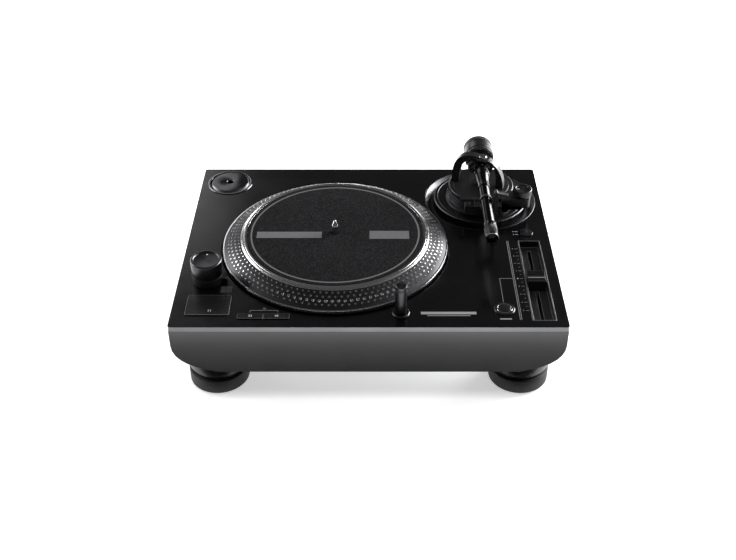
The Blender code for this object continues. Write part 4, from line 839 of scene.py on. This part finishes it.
ticks = dial_ticks(40, r - 0.6 * MM, r - 3.2 * MM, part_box("force_dial")[0].y + 0.02 * MM, INK)
trim("force_dial_ticks", ticks, screen_ink, "force_dial")
r, near, far = behind("counterweight")
hollow, hollow_end, waist = 6.6 * MM, far - 8 * MM, r - 0.5 * MM
weight_line = [
    (hollow, far), (r - 1.2 * MM, far), (r, far - 0.9 * MM), (r, far - 6.2 * MM), (waist, far - 6.6 * MM),
    (waist, far - 7.2 * MM), (r - 0.1 * MM, far - 7.6 * MM), (r - 0.1 * MM, near + 0.5 * MM),
    (r - 0.6 * MM, near), (SHAFT_BORE, near), (SHAFT_BORE, hollow_end), (hollow, hollow_end),
]
turned("counterweight", weight_line, black_alloy, TUBE, "behind", around=480, ribs=80, depth=0.12 * MM,
       ribbed=lambda radius, height: (radius > r - 0.05 * MM) & (height > far - 6.3 * MM))
print("weight", round(2 * r / MM, 1), "mm across")

# %% [markdown]
# ## Cueing, parking and anti-skate
# These are the small moulded brackets. Their edges are broken by a few tenths of a millimetre.

# %% Finish the brackets
brackets = (("cue_bracket", 0.5, 3), ("arm_rest", 0.45, 3), ("arm_clip", 0.35, 2), ("cue_lift", 0.4, 2))
for node, width, steps in brackets:
    edged(node, abs_black, width * MM, steps=steps)
edged("cue_lever", chrome, 0.3 * MM)
edged("antiskate_housing", abs_black, 0.5 * MM, steps=3)
r, low, high, spot = upright("antiskate_knob")
face, skirt_r = high.z - 0.8 * MM, r - 0.35 * MM
skate_line = [
    (0, face), (r - 3 * MM, face), (r - 2.5 * MM, high.z), (r - 0.6 * MM, high.z), (r, high.z - 0.6 * MM),
    (r, low.z + 2 * MM), (skirt_r, low.z + 1.8 * MM), (skirt_r, low.z), (0, low.z),
]
turned("antiskate_knob", skate_line, black_alloy, spot, around=480, ribs=60, depth=0.12 * MM,
       ribbed=ribs_outside(r - 0.05 * MM))
mark = flat_box(spot[0] - r + 4.5 * MM, spot[1], 4.0 * MM, 0.7 * MM, face, INK)
printed("antiskate_pointer", [mark], screen_ink, "antiskate_knob", "chrome")
print("brackets done")

# %% [markdown]
# ## Back and underside
# The sockets are nickel-plated brass with coloured insulators, as on any deck.

# %% Turn the sockets and dress the hidden parts
white_nylon = satin("white_nylon", "d8d6cf", 0.4, 0.5 * MM, 0.004 * MM, vary=0.04)
red_nylon = satin("red_nylon", "9c1f1d", 0.4, 0.5 * MM, 0.004 * MM, vary=0.06)
for side, insert in (("left", white_nylon), ("right", red_nylon)):
    node = f"rca_jack_{side}"
    r, low, high, spot = upright(node)
    axis = (spot[0], 0, middle(node)[2])
    far, hole = high.y, 3.2 * MM
    jack_line = [(1.6 * MM, low.y), (1.6 * MM, far - 1.0 * MM), (hole, far - 1.0 * MM), (hole, far),
                 (r - 0.4 * MM, far), (r, far - 0.4 * MM), (r, low.y)]
    turned(node, jack_line, chrome, axis, "behind", around=64, soft=0.15 * MM)
    nylon = swept(node + "_insert", ring(1.62 * MM, 3.18 * MM, far - 3 * MM, far - 0.5 * MM), axis, "behind",
                  around=64, soft=0.2 * MM)
    trim(node + "_insert", nylon, insert, "chassis")
r, low, high, spot = upright("ground_post")
post_line = [(0, high.y), (r - 0.4 * MM, high.y), (r, high.y - 0.4 * MM), (r, low.y), (0, low.y)]
axis = (spot[0], 0, middle("ground_post")[2])
turned("ground_post", post_line, chrome, axis, "behind", around=192, ribs=24, depth=0.12 * MM,
       ribbed=ribs_outside(r - 0.05 * MM))

enamelled_copper = satin("enamelled_copper", "9a5a2c", 0.35, 0.4 * MM, 0.02 * MM, metallic=1.0, vary=0.3)
hidden = {"platter_well": abs_black, "motor_stator": enamelled_copper, "motor_bearing": zinc_sheet,
          "rotor_magnet": ferrite, "main_board": epoxy_board, "power_supply": zinc_sheet,
          "fader_track": zinc_sheet}
for node, finish in hidden.items():
    for slot in nodes[node].material_slots:
        slot.material = finish
left_out = [name for name in nodes if nodes[name].data.materials and not nodes[name].hide_render
            and nodes[name].material_slots[0].material.name.split(".")[0] in node_slot.values()]
print("nodes with the packed finish left:", left_out)

# %% [markdown]
# ## Printed marks
# Screen printing leaves an ink film a few hundredths of a millimetre thick. Each mark is a thin raised
# shape on the plate, so it stays sharp from any side. Only scales, speeds and plain bars are printed.

# %% Scale beside the fader
ink_top = TOP - 0.01 * MM
LINE = 0.35 * MM
SCALE_X = 140.4 * MM     # left line of the scale; a second line and then the ticks follow
TICK_X = SCALE_X + 8.3 * MM
FIGURE_X = SCALE_X + 4.6 * MM
LINK_X = 127.3 * MM      # line that joins the scale to the reset key
STEP_Y = 6.25 * MM       # from tick to tick
reset = middle("reset_button")
link_end = reset[1] + 10.6 * MM
scale = [flat_box(x, fader[1], LINE, 128 * MM, ink_top, INK) for x in (SCALE_X, SCALE_X + 1.6 * MM)]
for step in range(-8, 9):
    length = 1.4 * MM if step % 2 else 3.2 * MM
    scale.append(flat_box(TICK_X, fader[1] + step * STEP_Y, length, 0.3 * MM, ink_top, INK))
scale.append(flat_box((LINK_X + SCALE_X) / 2, fader[1], SCALE_X - LINK_X, LINE, ink_top, INK))
scale.append(flat_box(LINK_X, (fader[1] + link_end) / 2, LINE, fader[1] - link_end, ink_top, INK))
scale.append(flat_box(LINK_X, reset[1] - 14.5 * MM, 11 * MM, 1.6 * MM, ink_top, INK))


def hatch(name, x, y, width, depth, count, thick):
    """Slanting strokes between two lines: stroke k is a parallelogram that climbs by one pitch as it
    crosses the width."""
    pitch = depth / count
    base = y - depth / 2 + np.arange(count)[:, None] * pitch
    across = np.array([0, width, width, 0])
    climb = np.array([0, pitch, pitch + thick, thick])
    across = np.broadcast_to(x + across, (count, 4))
    corners = [np.stack([across, base + climb, np.full((count, 4), z)], axis=-1)
               for z in (ink_top, ink_top + INK)]
    return six_sided(name, np.concatenate(corners, axis=1))


strokes = hatch("scale_hatch", SCALE_X + 0.2 * MM, fader[1], 1.2 * MM, 126 * MM, 34, LINE)
trim("scale_hatch", strokes, dark_ink, "chassis")
lamp = swept("centre_lamp", disc(0.55 * MM, ink_top, ink_top + 0.15 * MM), (FIGURE_X, fader[1], 0), around=24,
             soft=0.05 * MM)
trim("centre_lamp", lamp, screen_ink, "chassis")
printed("fader_scale", scale, dark_ink)
print("scale marks:", len(scale))

# %% Speeds, levels and bars
def lettering(name, text, x, y, height, base, finish, body):
    """Digits as a mesh: the font's outlines are filled, thickened and moved to (x, y) on a base."""
    curve = bpy.data.curves.new(name, "FONT")
    curve.body = text
    curve.size = height / 0.7
    curve.align_x, curve.align_y = "CENTER", "CENTER"
    curve.extrude = INK / 2
    guide = bpy.data.objects.new(name, curve)
    bpy.context.scene.collection.objects.link(guide)
    mesh = bpy.data.meshes.new_from_object(guide.evaluated_get(bpy.context.evaluated_depsgraph_get()))
    bpy.data.objects.remove(guide)
    points = np.zeros(len(mesh.vertices) * 3)
    mesh.vertices.foreach_get("co", points)
    mesh.vertices.foreach_set("co", (points.reshape(-1, 3) + np.array([x, y, base + INK / 2])).ravel())
    mesh.name = name
    return finished(name, mesh, finish, body)


keys = {text: middle(f"speed_button_{text}") for text in ("33", "45")}
key_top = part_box("speed_button_33")[1].z - 0.01 * MM
for text, spot in keys.items():
    lettering("speed_" + text, text, spot[0], spot[1], 2.6 * MM, key_top, screen_ink, f"speed_button_{text}")
seam, key_y = (keys["33"][0] + keys["45"][0]) / 2, keys["33"][1]
lettering("speed_78", "78", seam, key_y + 11.8 * MM, 2.2 * MM, ink_top, dark_ink, "chassis")
SPAN = 26 * MM
bracket = [flat_box(seam, key_y + 9.4 * MM, SPAN, 0.4 * MM, ink_top, INK)]
for side in (-1, 1):
    bracket.append(flat_box(seam + side * SPAN / 2, key_y + 8.0 * MM, 0.4 * MM, 3 * MM, ink_top, INK))
printed("speed_bracket", bracket, dark_ink)
for step in (-4, -3, -2, -1, 1, 2, 3, 4):
    lettering(f"scale_{step + 4}", str(2 * abs(step)), FIGURE_X, fader[1] + step * 2 * STEP_Y, 1.5 * MM,
              ink_top, dark_ink, "chassis")
range_spot = middle("range_button")
levels = []
for row in (-1, 1):
    at_y = range_spot[1] + row * 2.6 * MM
    levels.append(flat_box(range_spot[0] - 13.5 * MM, at_y, 1.2 * MM, 1.2 * MM, ink_top, INK))
    levels.append(flat_box(range_spot[0] - 10.3 * MM, at_y, 3.0 * MM, 1.0 * MM, ink_top, INK))
printed("range_marks", levels, dark_ink)
BAR_X = 74.6 * MM
bars = [flat_box(BAR_X, -119.6 * MM, 51.8 * MM, 3.8 * MM, ink_top, INK),
        flat_box(BAR_X, -123.4 * MM, 40 * MM, 0.9 * MM, ink_top, INK)]
printed("front_bar", bars, dark_ink)
start = middle("start_stop_button")
start_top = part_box("start_stop_button")[1].z - 0.01 * MM
pause = [flat_box(start[0] + x * MM, start[1] - 9 * MM, 0.9 * MM, 3.2 * MM, start_top, INK)
         for x in (1.2, 3.2)]
printed("start_mark", pause, dark_ink, "start_stop_button", "black_plastic")
mat_z = MAT_TOP - 0.15 * MM
mat_bars = [flat_box(PLATTER[0] + x * MM, PLATTER[1] - 5 * MM, width * MM, depth * MM, mat_z, 0.25 * MM)
            for x, width, depth in ((-45.9, 65.2, 11), (54.4, 39.7, 14))]
mat_ink = satin("mat_ink", "4e4e50", 0.85, 0.9 * MM, 0.1 * MM, vary=0.35)
printed("mat_bars", mat_bars, mat_ink, "slipmat", "slipmat_felt")
GRID_CORNER = np.array([-141.4 * MM, -87.6 * MM, ink_top])
GRID_STEP = (1.75 * MM, 1.7 * MM)
GRID_DOT, GRID_RISE = 0.42 * MM, 0.12 * MM


def dot_grid(count=6, sides=6):
    """Low caps with six sides on a square grid, each second row shifted by half a step. A cap has a
    rim and a top ring at 0.7 of its radius."""
    row, column = np.divmod(np.arange(count * count), count)
    across = (column + (row % 2) * 0.5) * GRID_STEP[0]
    spots = np.stack([across, row * GRID_STEP[1], 0 * row], axis=-1) + GRID_CORNER
    turn = np.arange(sides) * 2 * np.pi / sides
    rim = np.stack([np.cos(turn), np.sin(turn), 0 * turn], axis=-1) * GRID_DOT
    cap = np.concatenate([rim, rim * 0.7 + [0, 0, GRID_RISE]])
    a = np.arange(sides)
    b = (a + 1) % sides
    start = np.arange(len(spots))[:, None, None] * 2 * sides
    walls = (start + np.stack([a, b, b + sides, a + sides], axis=1)[None]).reshape(-1, 4).tolist()
    flats = (start + np.stack([a + sides, a[::-1]])[None]).reshape(-1, sides).tolist()
    mesh = bpy.data.meshes.new("dot_grid")
    mesh.from_pydata((spots[:, None] + cap[None]).reshape(-1, 3), [], walls + flats)
    return mesh


trim("dot_grid", dot_grid(), dark_ink, "chassis")
print("printed marks done")

# %% [markdown]
# ## Floor, light and camera
# The deck stands on plain white paper, which glows a little so that it stays white. A broad sky light
# comes from above and is left out of reflections. A soft light low behind on the left shows in the
# plate as a slow gradient, a strong one behind on the right shines on the rim and the plinth, and a
# weak one far behind lifts the back. A black card lies on the paper in front of the case, unseen by the
# camera, so that the lower plinth has something dark to reflect.

# %% Floor and world
def laid_flat(name, low, high, height, finish):
    """A flat sheet from one corner to the other at a height."""
    sheet = bpy.data.objects.new(name, bpy.data.meshes.new(name))
    corners = [(low[0], low[1]), (high[0], low[1]), (high[0], high[1]), (low[0], high[1])]
    sheet.data.from_pydata([(x, y, height) for x, y in corners], [], [(0, 1, 2, 3)])
    sheet.data.materials.append(finish)
    bpy.context.scene.collection.objects.link(sheet)
    return sheet


paper, _, paper_shader = new_material("matte_paper", Roughness=0.9, Emission_Strength=0.5)
paper_shader.inputs["Emission Color"].default_value = (1, 1, 1, 1)
paper_shader.inputs["Base Color"].default_value = (0.9, 0.9, 0.9, 1)
HALF = 20.0
laid_flat("floor", (-HALF, -HALF), (HALF, HALF), -0.4 * MM, paper)
card_coat, _, card_shader = new_material("black_card", Roughness=0.9)
card_shader.inputs["Base Color"].default_value = linear("080808")
front = cad_box[0][1]
card = laid_flat("card", (-0.3, front - 0.1), (0.3, front), 0.5 * MM, card_coat)
card.visible_camera = False
card.visible_shadow = False
world = bpy.data.worlds.new("room")
bpy.context.scene.world = world
world.use_nodes = True
backdrop = world.node_tree.nodes["Background"]
backdrop.inputs["Color"].default_value = (1.0, 1.0, 1.0, 1)
backdrop.inputs["Strength"].default_value = 0.085
bpy.context.scene.view_settings.view_transform = "Standard"


def softbox(name, place, aim, size, power):
    """A rectangular area light at a place, facing a point."""
    light = bpy.data.lights.new(name, "AREA")
    light.shape = "RECTANGLE"
    light.size, light.size_y = size
    light.energy = power
    lamp = bpy.data.objects.new(name, light)
    bpy.context.scene.collection.objects.link(lamp)
    lamp.location = place
    away = np.array(place) - np.array(aim)
    away = away / np.linalg.norm(away)
    lamp.rotation_euler = (math.acos(away[2]), 0, math.atan2(away[0], -away[1]))


sun = bpy.data.lights.new("sky_diffuser", "SUN")
sun.energy = 3.0
sun.angle = math.radians(50)
sky = bpy.data.objects.new("sky_diffuser", sun)
sky.visible_glossy = False
bpy.context.scene.collection.objects.link(sky)
softbox("back_left", (-1.55, 0.5, 0.6), (-0.05, 0.0, 0.09), (1.1, 0.8), 19)
softbox("back_right", (1.5, 0.85, 0.6), (0.05, 0.0, 0.09), (1.3, 0.8), 78)
softbox("far_left", (-1.0, 2.2, 1.15), (-0.1, 0.0, 0.09), (0.9, 0.9), 4.5)
print("lights:", len(bpy.data.lights))

# %% Camera
camera = bpy.data.objects.new("camera", bpy.data.cameras.new("camera"))
bpy.context.scene.collection.objects.link(camera)
camera.data.lens = 51.17
camera.data.sensor_width = 36
camera.data.shift_x = -0.0065
camera.location = (0.00385, -0.8814, 0.7019)
camera.rotation_euler = (math.radians(90 - 36.869), 0, 0)
bpy.context.scene.camera = camera
print("camera at", tuple(round(v, 3) for v in camera.location))
